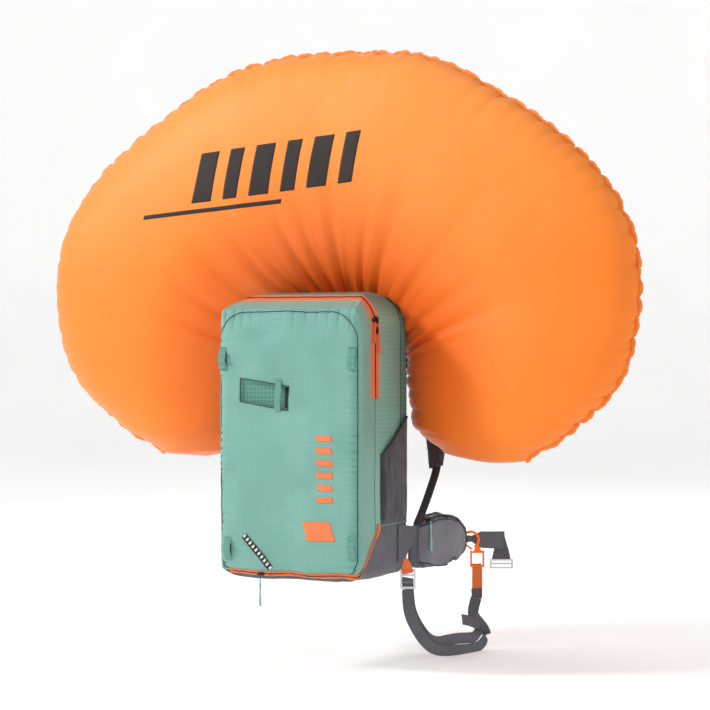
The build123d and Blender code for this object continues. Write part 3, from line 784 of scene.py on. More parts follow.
INNER_CLOTH = plain_cloth("liner", "#5B5E63", "#43464B", 200.0)

# ---------------------------------------------------------------- camera, floor and light
VIEW_BACK = Vector((0.43837, -0.89879, 0.005236))
camera = link(bpy.data.objects.new("camera", bpy.data.cameras.new("camera")))
camera.location = (2.2531, -4.5641, 0.3984)
camera.rotation_mode = "QUATERNION"
camera.rotation_quaternion = VIEW_BACK.to_track_quat("Z", "Y")
camera.data.sensor_width = 36.0
camera.data.lens = 120.33
camera.data.clip_end = 40.0
bpy.context.scene.camera = camera


WHITE = (1, 1, 1, 1)
FLOOR_PALE, FLOOR_PALER = (0.90, 0.90, 0.90, 1), (0.93, 0.93, 0.93, 1)
FLOOR_GLOW = 0.27
WORLD_LIGHT = 0.22
# The backdrop's rings: their radius, and their height over the floor.
BACKDROP = [
    (1, 0), (1500, 0), (3000, 0), (5200, 0), (6600, 160), (7400, 620), (7900, 1500), (8100, 3000),
    (8150, 7000),
]
# Each light's name, place, size in metres and power in watts.
LIGHTS = [
    ("key", (-3.5, -2.7, 3.0), 0.8, 128),
    ("fill", (3.8, -3.0, 1.6), 2.6, 6),
    ("top", (0.0, -0.6, 4.2), 2.0, 32),
    ("rear", (-1.0, 4.4, 2.6), 3.0, 42),
]
LIT_POINT = Vector((0, 0, 0.35))


def studio():
    """A pale floor that curves up into a backdrop on every side that a view may show, and soft lights."""
    floor_z = cad_low.z / MM - 4
    around = 72
    points = []
    for radius, height in BACKDROP:
        for k in range(around):
            angle = 2 * math.pi * k / around
            points.append((radius * math.cos(angle), radius * math.sin(angle), floor_z + height))
    floor = new_mesh("floor", points, grid_faces(len(BACKDROP), around, closed_columns=True))
    s = Shader("pale_floor", 0.9, specular=0.1)
    s.surface.inputs["Emission Color"].default_value = WHITE
    s.surface.inputs["Emission Strength"].default_value = FLOOR_GLOW
    floor.data.materials.append(s.paint(s.mix(s.ramp(s.noise(3.0), 0.3, 0.7), FLOOR_PALE, FLOOR_PALER)))
    floor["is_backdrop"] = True
    world = bpy.data.worlds.new("world")
    bpy.context.scene.world = world
    world.use_nodes = True
    background = world.node_tree.nodes["Background"]
    background.inputs["Color"].default_value = WHITE
    background.inputs["Strength"].default_value = WORLD_LIGHT
    for name, place, size, power in LIGHTS:
        lamp = bpy.data.lights.new(name, "AREA")
        lamp.size = size
        lamp.energy = power
        holder = link(bpy.data.objects.new(name, lamp))
        holder.location = place
        holder.rotation_mode = "QUATERNION"
        holder.rotation_quaternion = (LIT_POINT - Vector(place)).to_track_quat("-Z", "Y")
    bpy.context.scene.view_settings.view_transform = "Standard"


studio()

# ---------------------------------------------------------------- cords, on the CAD tubes' route points
LEG_STRAP_ROUTE = [
    (164.5, -29, -122), (164.5, -28, -149), (165, -18, -178), (167, 8, -207), (171, 39, -236),
    (176, 77, -259), (184, 122, -267), (193, 166, -269), (202, 208, -273), (208.5, 247, -272),
    (213.5, 275, -259), (212, 281, -238), (203, 262, -218), (198, 240, -201), (202, 236, -182),
    (206.5, 240, -162.5),
]
LEG_TAIL_ROUTE = [
    (161, -19, -122), (161.5, -17, -148), (162.5, -5, -176), (165, 24, -206), (169, 57, -233),
    (174, 96, -246), (181, 135, -246), (189, 174, -245), (197, 216, -249), (202, 243, -250),
    (206.5, 262, -232), (200, 238, -214), (191, 200, -207),
]
IN_PICTURE = (0.8988, 0.4384, 0.0)
WEB_WIDTH = 24.0
WEB_THICK = 1.8


def towards_the_hook(obj):
    """The leg strap hangs between the bag and the hook on the hip fin; its placement is baked into its mesh.
    """
    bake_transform(obj)


def flat_cord(name, route, turned, node):
    """A leg strap of flat webbing on its route; turned gives the width's direction at each route point."""
    line = nurbs_line(route, 10)
    across = nurbs_line(turned, 10)
    obj = ribbon(name, line, across, WEB_WIDTH, WEB_THICK, GREY_WEBBING, None, [node])
    towards_the_hook(obj)
    return line, across


def turned_between(count, keys):
    """Width directions at every route point, from a few (index, direction) keys."""
    at = [k for k, _ in keys]
    directions = np.array([d for _, d in keys], float)
    return unit(np.stack([np.interp(range(count), at, directions[:, i]) for i in range(3)], axis=1))


STRAP_TURNED = turned_between(len(LEG_STRAP_ROUTE), [
    (0, IN_PICTURE), (3, (0.80, 0.42, 0.40)), (6, (-0.25, -0.30, 0.92)), (10, (-0.10, 0.10, 0.98)),
    (12, (0.35, 0.25, 0.85)), (14, IN_PICTURE), (15, IN_PICTURE),
])
TAIL_TURNED = turned_between(len(LEG_TAIL_ROUTE), [
    (0, IN_PICTURE), (3, (0.80, 0.42, 0.40)), (6, (-0.20, -0.35, 0.90)), (9, (-0.1, 0.0, 0.98)),
    (12, (-0.25, 0.1, 0.95)),
])
flat_cord("leg_strap_webbing", LEG_STRAP_ROUTE, STRAP_TURNED, "leg_strap")
tail_line, tail_across = flat_cord(
    "leg_tail_webbing", LEG_TAIL_ROUTE, TAIL_TURNED, "leg_strap_tail")
hem_line = tail_line[-9:] + [0, -1.4, 0.6]
towards_the_hook(ribbon("leg_tail_hem", hem_line, tail_across[-9:], WEB_WIDTH - 0.4, WEB_THICK, GREY_WEBBING,
                        None))


def cord_curve(name, route, diameter, material, body, node):
    """A round cord as a NURBS curve with the CAD route's points."""
    curve = nurbs_curve(name, np.array(route) * MM)
    curve.bevel_depth = diameter / 2 * MM
    curve.bevel_resolution = 4
    curve.use_fill_caps = True
    obj = link(bpy.data.objects.new(name, curve))
    dress(obj, material, body, [node])
    return obj


UPPER_PULL = [(170.2, -199, 440), (170.6, -200, 426), (170.1, -201.5, 412), (170.3, -203, 397)]
MAIN_PULL = [(172.4, -186, 419), (172.9, -185.4, 405), (172.2, -184.6, 391), (172.6, -183.4, 377)]
BASE_PULL = [(-63, -261, -87), (-62.4, -261.4, -106), (-63.4, -261, -125), (-62.6, -261.2, -144)]
HIP_PULL = [(187, 38, 22), (187.8, 37.6, 2), (188.8, 37.2, -20), (189, 37, -44)]
HIP_PULL_LEFT = mirrored_points(HIP_PULL, -1)
PULL_DIAMETER = 3.4
GRIP_START = 0.6
COLLAR_START, COLLAR_END = 0.16, 0.3
COLLAR_RADIUS = 2.4


def pull_cord(name, body, route, material):
    """A zip pull: the cord, a collar near its top and a thicker grip. Its CAD node has its body's name."""
    line = nurbs_line(route, 24)
    grip_line = line[int(len(line) * GRIP_START):]
    swell = 2.0 + 0.8 * np.sin(np.linspace(0.1, math.pi * 0.85, len(grip_line)))
    grip = tube(f"{name}_grip", grip_line, swell, material, body, sides=12)
    collar_line = line[int(len(line) * COLLAR_START):int(len(line) * COLLAR_END)]
    collar = tube(f"{name}_collar", collar_line, COLLAR_RADIUS, material, body, sides=12)
    cord_curve(name, route, PULL_DIAMETER, material, body, body)


for body, name, route, length, material, slot in (
        ("upper_pull", "upper_pull_cord", UPPER_PULL, 0.043, ORANGE_CORD, "orange_cord"),
        ("main_pull", "main_pull_cord", MAIN_PULL, 0.042, ORANGE_CORD, "orange_cord"),
        ("base_pull", "base_pull_cord", BASE_PULL, 0.057, MINT_CORD, "mint_cord"),
        ("hip_pull_right", "hip_pull_cord_right", HIP_PULL, 0.066, MINT_CORD, "mint_cord"),
        ("hip_pull_left", "hip_pull_cord_left", HIP_PULL_LEFT, 0.066, MINT_CORD, "mint_cord")):
    pull_cord(name, body, route, material)


# ---------------------------------------------------------------- the airbag
AIRBAG_STATIONS = [
    ((338, 151), (1, -0.05), 22, 12), ((338, 154.5), (1, -0.05), 64, 32), ((337, 167), (1, -0.05), 108, 62),
    ((337, 192), (1, -0.05), 151, 91), ((354, 238), (1, -0.04), 199, 113), ((384, 295), (1, -0.03), 238, 126),
    ((415, 478), (0.928, 0.371), 292, 131), ((243, 680), (0.588, 0.81), 273, 131),
    ((135, 733), (0.343, 0.939), 272, 131), ((0, 747), (0.0, 1.0), 264, 131),
]
AIRBAG_Y = 30.0
AIRBAG_LEAN = 0.12
ARCH = (340.0, 143.0)
BAG_GAP = 1.6


def natural_spline(at, values, wanted):
    """A natural cubic spline through values, for each column."""
    at, values = np.asarray(at, float), np.asarray(values, float)
    count = len(at)
    step = np.diff(at)
    matrix = np.zeros((count, count))
    right = np.zeros_like(values)
    slope = np.diff(values, axis=0) / step[:, None]
    matrix[0, 0] = matrix[-1, -1] = 1
    for i in range(1, count - 1):
        matrix[i, i - 1:i + 2] = step[i - 1], 2 * (step[i - 1] + step[i]), step[i]
        right[i] = 6 * (slope[i] - slope[i - 1])
    bend = np.linalg.solve(matrix, right)
    k = np.clip(np.searchsorted(at, wanted) - 1, 0, count - 2)
    h = step[k][:, None]
    a, b = (at[k + 1] - wanted)[:, None] / h, (wanted - at[k])[:, None] / h
    return a * values[k] + b * values[k + 1] + ((a**3 - a) * bend[k] + (b**3 - b) * bend[k + 1]) * h * h / 6


def clear_of_bag(points, gap):
    """Points moved out of the bag's form to a gap from it, over its nearest side."""
    reach = points @ PLANE_NORMALS.T - PLANE_OFFSETS
    nearest = reach.argmax(1)
    depth = reach[np.arange(len(points)), nearest]
    return points + PLANE_NORMALS[nearest] * np.clip(gap - depth, 0, None)[:, None]


def airbag_surface(along_count, round_count):
    """Grid points of the inflated bag; each row is one section, from its outer seam round the front."""
    half = [(np.array(m, float), unit(np.array(o, float)), w, d) for m, o, w, d in AIRBAG_STATIONS]
    flip = np.array([-1, 1])
    whole = half + [(m * flip, o * flip, w, d) for m, o, w, d in reversed(half[:-1])]
    middle = np.array([m for m, _, _, _ in whole])
    at = lengths_along(middle)
    values = np.array([[*(m + o * w), *(m - o * w), d] for m, o, w, d in whole])
    ease = np.linspace(-1, 1, along_count)
    wanted = at[-1] / 2 * (1 + 0.55 * ease + 0.45 * np.sin(ease * math.pi / 2))
    found = natural_spline(at, values, wanted)
    outer, inner, depth = found[:, 0:2], found[:, 2:4], found[:, 4]
    angle = np.arange(round_count) / round_count * 2 * math.pi
    share = (np.cos(angle) + 1) / 2
    rise = -np.sign(np.sin(angle)) * np.abs(np.sin(angle)) ** 1.08
    flat = inner[:, None, :] + (outer - inner)[:, None, :] * share[None, :, None]
    x, z = flat[..., 0], flat[..., 1]
    y = AIRBAG_Y - AIRBAG_LEAN * (np.hypot(x, z - ARCH[0]) - ARCH[1]) + depth[:, None] * rise[None, :]
    width = np.linalg.norm(outer - inner, axis=1)
    return np.stack([x, y, z], axis=-1), wanted, angle, width, depth


# How far the outer seam is drawn forward on the right side, as it hangs in the photograph.
SEAM_FORWARD = 36
CREASES = 26
CREASE_PITCH = 44


def build_airbag():
    rows, columns = ((620, 190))
    grid, along, angle, width, depth = airbag_surface(rows, columns)
    low_end, high_end = grid[0].mean(0), grid[-1].mean(0)
    points = grid.reshape(-1, 3)
    faces = grid_faces(rows, columns, closed_columns=True)
    caps = len(points)
    points = np.concatenate([points, [low_end - [0, 0, 3], high_end - [0, 0, 3]]])
    for j in range(columns):
        k = (j + 1) % columns
        faces.append((caps, k, j))
        faces.append((caps + 1, (rows - 1) * columns + j, (rows - 1) * columns + k))
    obj = new_mesh("airbag_skin", points, faces, flipped=True)
    normals = mesh_normals(obj)
    s = np.repeat(along, columns)
    theta = np.tile(angle, rows)
    wide, deep = np.repeat(width, columns), np.repeat(depth, columns)
    from_outer = np.hypot(wide / 2 * (1 - np.cos(theta)), deep * np.sin(theta))
    from_inner = np.hypot(wide / 2 * (1 + np.cos(theta)), deep * np.sin(theta))
    arc = s * 1.75
    front = np.sin(theta) > 0
    side_seed = np.where(front, 0.0, 900.0)
    out = 10.0 * lobes(arc + side_seed, 52, 31) * np.exp(-from_outer / 40)
    out += 5.0 * gathers(arc + side_seed, 23, 32) * np.exp(-from_outer / 26)
    out += 2.2 * along_noise(arc, 60, 33) * np.exp(-from_outer / 60)
    inner_arc = s + side_seed
    out += 8.0 * lobes(inner_arc, 46, 34) * np.exp(-from_inner / 80)
    out += 5.0 * gathers(inner_arc, 22, 35) * np.exp(-from_inner / 44)
    middle = along[-1] / 2
    draw = np.random.default_rng(23)
    for k in range(CREASES):
        centre = middle + (k - (CREASES - 1) / 2) * CREASE_PITCH + draw.uniform(-14, 14)
        reach = draw.uniform(110, 290)
        bend = draw.uniform(-0.16, 0.16)
        sharp = draw.uniform(5, 10)
        side = 1 if k % 2 else -1
        line = (s - centre - bend * from_inner) / (sharp + from_inner * 0.05)
        out -= 7.5 * np.exp(-line**2) * np.exp(-((from_inner / reach) ** 2)) * (np.sin(theta) * side > -0.2)
        out += 4.0 * np.exp(-((line - 2.1) / 1.5) ** 2) * np.exp(-((from_inner / reach) ** 2))
    body_points = points[:caps]
    out += 2.2 * noise(body_points, 150, 36) + 0.8 * noise(body_points, 46, 37)
    out *= np.clip(np.minimum(s, along[-1] - s) / 40, 0.15, 1)
    moved = points.copy()
    moved[:caps] += normals[:caps] * out[:, None]
    right_side = np.clip((body_points[:, 0] - 60) / 420, 0, 1)
    moved[:caps, 1] -= SEAM_FORWARD * right_side * np.exp(-((from_outer / 120) ** 2))
    moved = clear_of_bag(moved, BAG_GAP)
    set_points(obj, moved)
    seam_line = moved[:caps].reshape(rows, columns, 3)[6:-6, 0]
    outward = normals[:caps].reshape(rows, columns, 3)[6:-6, 0]
    dress(obj, AIRBAG, "bag", ["airbag"])
    ribbon("airbag_seam", seam_line + outward * 2.6, outward, 8.0, 2.0, AIRBAG_SEAM, "bag")
    rows_of_thread = [seam_line + outward * 1.0 + [0, side * 2.4, 0] for side in (-1, 1)]
    stitches("airbag_seam_stitches", rows_of_thread, THREAD_ORANGE, "bag", 5.0, 3.0, 0.6)
    return obj


def tree_of(obj):
    return BVHTree.FromObject(obj, bpy.context.evaluated_depsgraph_get())


def cast(tree, points, direction, lift=0.4):
    """Points dropped along a direction on to a surface, and lifted off it."""
    found = []
    for p in points:
        hit, normal, _, _ = tree.ray_cast(Vector(p) * MM, Vector(direction))
        if hit is None:
            hit, normal, _, _ = tree.find_nearest(Vector(p) * MM)
        found.append(np.array(hit) / MM + np.array(normal) * lift)
    return np.array(found)


airbag_tree = tree_of(build_airbag())


def print_and_shade_bars(name, bars, put, material, body):
    """Plain flat shapes on cloth: print, and sheets of painted shade. A bar is (x, z, length, height, slant,
    turn in degrees).
    """
    points, faces = [], []
    for x, z, length, height, slant, turn in bars:
        across, up = max(4, int(length / 4)), max(3, int(height / 4))
        c, s = math.cos(math.radians(turn)), math.sin(math.radians(turn))
        base = len(points)
        for j in range(up + 1):
            for i in range(across + 1):
                u, v = (i / across - 0.5) * length, (j / up - 0.5) * height
                u += v * slant
                points.append((x + u * c - v * s, z + u * s + v * c))
        faces += [tuple(base + i for i in f) for f in grid_faces(up + 1, across + 1)]
    obj = new_mesh(name, put(np.array(points)), faces)
    thicken(obj, 0.35)
    return dress(obj, material, body)


def on_airbag_front(plane):
    starts = np.stack([plane[:, 0], np.full(len(plane), -420.0), plane[:, 1]], axis=1)
    return cast(airbag_tree, starts, (0, 1, 0), 0.35)


AIRBAG_PRINT = [(-262 + 68 * k, 752 + 6.5 * k, 34 if k % 2 else 46, 104, 0.32, 5) for k in range(6)]
AIRBAG_PRINT.append((-250, 683, 330, 9, 0.32, 5))
print_and_shade_bars("airbag_print", AIRBAG_PRINT, on_airbag_front, PRINT_BLACK, "bag")

# ---------------------------------------------------------------- the bag's panels
CELL = 5.0
CORE_LOW = BAG_LOW + [80, 80, 80]
CORE_HIGH = BAG_HIGH - [80, 90, 110]


def core_of(points):
    return np.clip(points, CORE_LOW, CORE_HIGH)


SLIT_HALF = 30.0
SLIT_Y = (-60.5, -24.5)


def bag_skin():
    """The bag's whole form as an even quad mesh: a box lattice sent outwards on to the form."""
    low, high = BAG_LOW, BAG_HIGH
    counts = np.round((high - low) / CELL).astype(int)
    index, points, faces = {}, [], []

    def vertex(key):
        if key not in index:
            index[key] = len(points)
            points.append(low + (high - low) * np.array(key) / counts)
        return index[key]

    for axis in range(3):
        a, b = (axis + 1) % 3, (axis + 2) % 3
        for end in (0, counts[axis]):
            for i in range(counts[a]):
                for j in range(counts[b]):
                    quad = []
                    for di, dj in ((0, 0), (1, 0), (1, 1), (0, 1)):
                        key = [0, 0, 0]
                        key[axis], key[a], key[b] = end, i + di, j + dj
                        quad.append(vertex(tuple(int(k) for k in key)))
                    faces.append(tuple(quad if end else reversed(quad)))
    points = np.array(points)
    core = core_of(points)
    placed, _ = bag_exit(core, unit(points - core))
    return placed, faces


SLOT_EDGES = list(zip(SLOT, SLOT[1:] + SLOT[:1]))


def near_slot(c):
    return c.y < FRONT_Y + 4 and -115 < c.x < 12 and 250 < c.z < 335


def cut_skin():
    """The skin with edges along every seam between panels."""
    points, faces = bag_skin()
    bm = bmesh.new()
    made = [bm.verts.new(p) for p in points]
    for f in faces:
        bm.faces.new([made[i] for i in f])

    def cut(point, normal, keep=None):
        chosen = [f for f in bm.faces if keep is None or keep(f.calc_center_median())]
        edges = {e for f in chosen for e in f.edges}
        verts = {v for f in chosen for v in f.verts}
        geometry = chosen + list(edges) + list(verts)
        bmesh.ops.bisect_plane(bm, geom=geometry, plane_co=point, plane_no=normal, dist=1e-4)

    for y in (ZIP_Y - TAPE, ZIP_Y, ZIP_Y + TAPE, DIVIDER_Y, BOARD_Y):
        cut((0, y, 0), (0, 1, 0))
    cut((0, 0, ZIP_END_Z), (0, 0, 1), lambda c: ZIP_Y - TAPE - 1 < c.y < ZIP_Y + TAPE + 1)
    for (y0, z0), (y1, z1) in zip(BASE_SEAM, BASE_SEAM[1:]):
        if y0 > -290:
            cut((0, y0, 0), (0, 1, 0), lambda c: c.z < 60)
        cut((0, y0, z0), (0, z0 - z1, y1 - y0), lambda c: y0 - 1e-3 < c.y < y1 + 1e-3 and c.z < 60)
    for (x0, z0), (x1, z1) in SLOT_EDGES:
        cut((x0, 0, z0), (z1 - z0, 0, x0 - x1), near_slot)
    for x in (-SLIT_HALF, SLIT_HALF):
        cut((x, 0, 0), (1, 0, 0), lambda c: c.z > 440 and c.y > DIVIDER_Y)
    for y in SLIT_Y:
        cut((0, y, 0), (0, 1, 0), lambda c: c.z > 440 and abs(c.x) < SLIT_HALF + 1)
    return bm


def in_slit(c):
    return c.z > 440 and abs(c.x) < SLIT_HALF and SLIT_Y[0] < c.y < SLIT_Y[1]


def in_slot(x, z):
    return all((x1 - x0) * (z - z0) - (z1 - z0) * (x - x0) > 0 for (x0, z0), (x1, z1) in SLOT_EDGES)


def zone_of(c):
    if c.y > BOARD_Y:
        return "back"
    if c.z < seam_height(c.y):
        return "base"
    if c.y > DIVIDER_Y:
        return "rear"
    high = c.z > ZIP_END_Z
    if c.y > (ZIP_Y + TAPE if high else ZIP_Y):
        return "main"
    if high and c.y > ZIP_Y:
        return "main_tape"
    if high and c.y > ZIP_Y - TAPE:
        return "flap_tape"
    return "front"


PANEL_THICK = 1.5


def open_edges(mesh):
    """The mesh's boundary edges, as pairs of vertex numbers."""
    counts = {}
    for face in mesh.polygons:
        for key in face.edge_keys:
            counts[key] = counts.get(key, 0) + 1
    return [key for key, number in counts.items() if number == 1]


def build_panels():
    bm = cut_skin()
    bm.faces.ensure_lookup_table()
    zones = {}
    for face in bm.faces:
        c = face.calc_center_median()
        zone = zone_of(c)
        if (zone == "front" and c.y < FRONT_Y + 4 and in_slot(c.x, c.z)) or in_slit(c):
            continue
        zones.setdefault(zone, []).append([v.co[:] for v in face.verts])
    bm.free()
    made = {}
    for zone, quads in zones.items():
        index, points, faces = {}, [], []
        for quad in quads:
            ring = []
            for co in quad:
                key = tuple(round(c, 3) for c in co)
                if key not in index:
                    index[key] = len(points)
                    points.append(co)
                if index[key] not in ring:
                    ring.append(index[key])
            if len(ring) > 2:
                faces.append(ring)
        obj = new_mesh(f"bag_{zone}", points, faces)
        if zone != "back":
            sub = bmesh.new()
            sub.from_mesh(obj.data)
            bmesh.ops.subdivide_edges(sub, edges=sub.edges[:], cuts=1, use_grid_fill=True)
            sub.to_mesh(obj.data)
            sub.free()
        p = mesh_points(obj)
        core = core_of(p)
        placed, n = bag_exit(core, unit(p - core))
        blended = unit(n + 0.35 * unit(p - core))
        rim = np.zeros(len(p), bool)
        rim[[i for edge in open_edges(obj.data) for i in edge]] = True
        eased = relax(placed, obj.data, 9)
        placed = np.where(rim[:, None], placed, eased)
        set_points(obj, placed + blended * relief(placed, n)[:, None])
        shade_smooth(obj.data)
        obj.data.materials.clear()
        solid = modifier(obj, "SOLIDIFY", thickness=PANEL_THICK * MM, offset=-1.0)
        solid.use_even_offset = False
        apply_modifiers(obj)
        made[zone] = obj
    return made


def over_fold(obj):
    """The piece crosses the flap's fold; its placement is baked into its mesh."""
    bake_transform(obj)


panels = build_panels()
for zone, material, body, slot, nodes in (
        ("front", MINT, None, "mint_fabric", ["front_flap", "lower_front"]),
        ("flap_tape", ZIP_ORANGE, None, "zip_tape_orange", ["flap_zip_tape"]),
        ("main_tape", ZIP_ORANGE, "bag", "zip_tape_orange", ["main_zip_tape"]),
        ("main", MINT_SIDE, "bag", "mint_fabric", ["main_gusset"]),
        # The rear gusset takes the darker copy of the mint: painted shade.
        ("rear", MINT_SHADED, "bag", "green_fabric", ["rear_gusset"]),
        ("base", GREY, "bag", "grey_fabric", ["base_shell"]),
        ("back", GREY_SOFT, "bag", "grey_fabric", ["back_panel"])):
    dress(panels[zone], material, body, nodes)
    if body is None:
        over_fold(panels[zone])


# ---------------------------------------------------------------- seams, stitches and zip on the bag
def on_bag(starts, directions, lift=0.0):
    return bag_point(np.asarray(starts, float), np.asarray(directions, float), lift)[0]


def on_front(plane, lift=0.0):
    """Points on the bag's front cloth at (x, z)."""
    plane = np.asarray(plane, float)
    starts = np.stack([plane[:, 0], np.full(len(plane), -150.0), plane[:, 1]], axis=1)
    return on_bag(starts, np.array([[0.0, -1.0, 0.0]]), lift)


def front_outline(inset):
    """The front's outline drawn in by an inset, open at its foot, from the left foot round the top."""
    low, high = BASE_Z - 20, FRONT_TOP_Z - inset + 2
    side = HALF - inset
    ring = rounded([(-side, low), (side, low), (side, high), (-side, high)], [5, 5, 62, 62])
    upper = ring[ring[:, 1] > 100][::-1]
    foot = np.array([(side - 26, -76), (side - 7, -66), (side, -44)])
    line = np.concatenate([foot * [-1, 1], upper, foot[::-1]])
    return straight(line, 1.6)


def hoop(y, low, lift=0.0, step=2.0):
    """A line round the bag's right side, top and left side at depth y, from height low to height low."""
    side, crown = HALF - 85, 395.0
    rise = np.arange(low, crown, step)
    turn = np.radians(np.arange(0, 90, 1.2))
    over = np.arange(side, -side, -step)
    starts = [(side, y, z) for z in rise] + [(side, y, crown)] * len(turn) + [(x, y, crown) for x in over]
    starts += [(-side, y, crown)] * len(turn) + [(-side, y, z) for z in rise[::-1]]
    ways = [(1, 0, 0)] * len(rise) + [(math.cos(a), 0, math.sin(a)) for a in turn] + [(0, 0, 1)] * len(over)
    ways += [(-math.sin(a), 0, math.cos(a)) for a in turn] + [(-1, 0, 0)] * len(rise)
    return on_bag(starts, ways, lift)


def seam_hem(line, count=3):
    """The line evened out a little, so that a seam does not follow each small wrinkle."""
    line = line.copy()
    for _ in range(count):
        line[1:-1] = (line[:-2] + 2 * line[1:-1] + line[2:]) / 4
    return line


PIPING_RADIUS = 0.9
EDGE_RADIUS = 0.6
front_line = seam_hem(on_front(front_outline(FRONT_SEAM_INSET), 0.35))
over_fold(tube("front_piping", front_line, 0.95, PIPING, None))
front_stitch_line = on_front(front_outline(FRONT_SEAM_INSET + 4.5), 0.15)
front_stitch = stitches("front_stitches", [front_stitch_line], THREAD_MINT, None)
over_fold(front_stitch)

for name, y, low, radius, material, slot in (
        ("divider_piping", DIVIDER_Y, 24, PIPING_RADIUS, PIPING, "green_fabric"),
        ("tape_edge_rear", ZIP_Y + TAPE, ZIP_END_Z, EDGE_RADIUS, THREAD_ORANGE, "zip_tape_orange")):
    tube(name, seam_hem(hoop(y, low, 0.3)), radius, material, "bag")
tape_front_line = seam_hem(hoop(ZIP_Y - TAPE, ZIP_END_Z + 2, 0.3))
over_fold(tube("tape_edge_front", tape_front_line, EDGE_RADIUS, THREAD_ORANGE, None))
for name, sign in (("gusset_seam", 1), ("gusset_seam_left", -1)):
    starts = [(40 * sign, ZIP_Y, z) for z in np.arange(16, ZIP_END_Z, 2.0)]
    tube(name, seam_hem(on_bag(starts, [(sign, 0, 0)], 0.1)), 0.7, PIPING, "bag")

# The step between a coil's points, half of its pitch.
COIL_STEP = 0.7
coil_line = straight(hoop(ZIP_Y, ZIP_END_Z, 0.6), COIL_STEP)
ridge = 1.35 + 0.35 * np.sin(np.arange(len(coil_line)) * 0.7 / 1.4 * 2 * math.pi)
tube("main_zip_coil", coil_line, ridge, COIL, "bag", sides=7)
tape_stitches = [hoop(ZIP_Y + TAPE - 3.5, ZIP_END_Z + 2, 0.2), hoop(ZIP_Y + 5, ZIP_END_Z + 2, 0.2)]
stitches("main_tape_stitches", tape_stitches, THREAD_ORANGE, "bag")
over_fold(stitches("flap_tape_stitches", [hoop(ZIP_Y - TAPE + 3.5, ZIP_END_Z + 4, 0.2)], THREAD_ORANGE, None))


def base_seam_line(shift, low_x=-HALF + 24, end_y=-172.0, lift=0.8):
    """Along the base seam: over the front from the left, round the right corner and back along the side."""
    flat = np.arange(low_x, HALF - 26, 2.0)
    starts = [(x, -200, -76 + shift) for x in flat]
    ways = [(0, -1, 0)] * len(flat)
    for angle in np.radians(np.arange(-88, 0, 4.0)):
        turned_y = FRONT_Y + 12 * (1 + math.sin(angle))
        starts.append((HALF - 24, FRONT_Y + 24, seam_height(turned_y) + 2 + shift))
        ways.append((math.cos(angle), math.sin(angle), 0))
    for y in np.arange(FRONT_Y + 24, end_y, 2.0):
        starts.append((60, y - shift * 0.55, seam_height(y) + 2 + shift * 0.75))
        ways.append((1, 0, 0))
    return on_bag(starts, ways, lift)


def strip_between(name, low_line, high_line, thick, material, body, replaces=()):
    """A cloth strip between two lines with as many points, with thickness."""
    rows = np.stack([low_line + (high_line - low_line) * t for t in np.linspace(0, 1, 5)])
    obj = new_mesh(name, rows.reshape(-1, 3), grid_faces(5, len(low_line)))
    thicken(obj, thick)
    return dress(obj, material, body, replaces)


low_edge, high_edge = [seam_hem(base_seam_line(shift)) for shift in (-5.5, 5.5)]
strip_between("base_zip_tape_sewn", low_edge, high_edge, 0.9, ZIP_ORANGE, "bag",
              ["base_zip_tape"])
base_coil = straight(seam_hem(base_seam_line(0, lift=1.4)), COIL_STEP)
base_ridge = 1.15 + 0.3 * np.sin(np.arange(len(base_coil)) * math.pi)
tube("base_zip_coil", base_coil, base_ridge, COIL, "bag", sides=7)
base_stitches = [base_seam_line(shift, lift=1.5) for shift in (4.2, -4.2)]
stitches("base_zip_stitches", base_stitches, THREAD_ORANGE, "bag")
tab_route = [(165.2, -183, 2), (166.5, -180, 8), (167, -176, 15), (166.6, -172, 22), (165.6, -170, 25)]
tab_line = nurbs_line(tab_route, 8)
ribbon("base_zip_tab", tab_line, (0.05, 0.8, -0.5), 12, 1.8, ORANGE_WEBBING, "bag")

# ---------------------------------------------------------------- side pockets
POCKET_LOW = 24.0
POCKET_FRONT, POCKET_BACK = -164.0, -34.0


def pocket_top(y):
    return np.interp(y, [POCKET_FRONT, -44, POCKET_BACK], [166, 243, 243])


def side_pocket(side, sign):
    """A stretch pocket on the bag's side, with its hem and the seam at its foot."""
    name = f"pocket_{side}"
    columns, rows = 66, 96
    us, vs = np.linspace(0, 1, columns), np.linspace(0, 1, rows)
    u, v = np.meshgrid(us, vs)
    y = POCKET_FRONT + (POCKET_BACK - POCKET_FRONT) * u
    z = POCKET_LOW + (pocket_top(y) - POCKET_LOW) * v
    flat = np.stack([np.zeros(u.size), y.ravel(), z.ravel()], axis=1)
    p, n = bag_exit(flat, np.array([[sign, 0.0, 0.0]]))
    edge = np.clip(np.minimum(u, 1 - u).ravel() / 0.13, 0, 1)
    foot = np.clip(v.ravel() / 0.10, 0, 1)
    swell = np.sin(edge * math.pi / 2) * np.sin(foot * math.pi / 2)
    lift = 1.0 + 6.4 * swell
    creased = noise(flat * [1, 0.45, 0.16], 6.5, 41) + 0.6 * noise(flat * [1, 0.9, 0.5], 9, 42)
    slack = np.sin(np.clip(v.ravel(), 0, 1) * math.pi)
    lift += 1.25 * creased * swell + 1.0 * noise(flat, 30, 43) * slack * swell
    lift += 1.3 * gathers(z.ravel(), 9, 44) * (1 - edge) * foot
    placed = p + n * np.clip(lift, 0.7, 8.6)[:, None]
    obj = new_mesh(name, placed, grid_faces(rows, columns))
    thicken(obj, 1.1, -sign)
    dress(obj, KNIT, "bag", [f"side_pocket_{side}"])
    top = placed.reshape(rows, columns, 3)[-1]
    tube(f"{name}_hem", seam_hem(top), 2.0, DARK_BINDING_AND_SHADE, "bag")
    lower = [(0, y, POCKET_LOW - 2) for y in np.linspace(POCKET_FRONT, -24, 60)]
    tube(f"{name}_foot_seam", on_bag(lower, [(sign, 0, 0)], 1.0), 0.9, THREAD_GREY, "bag")


both_sides(side_pocket)

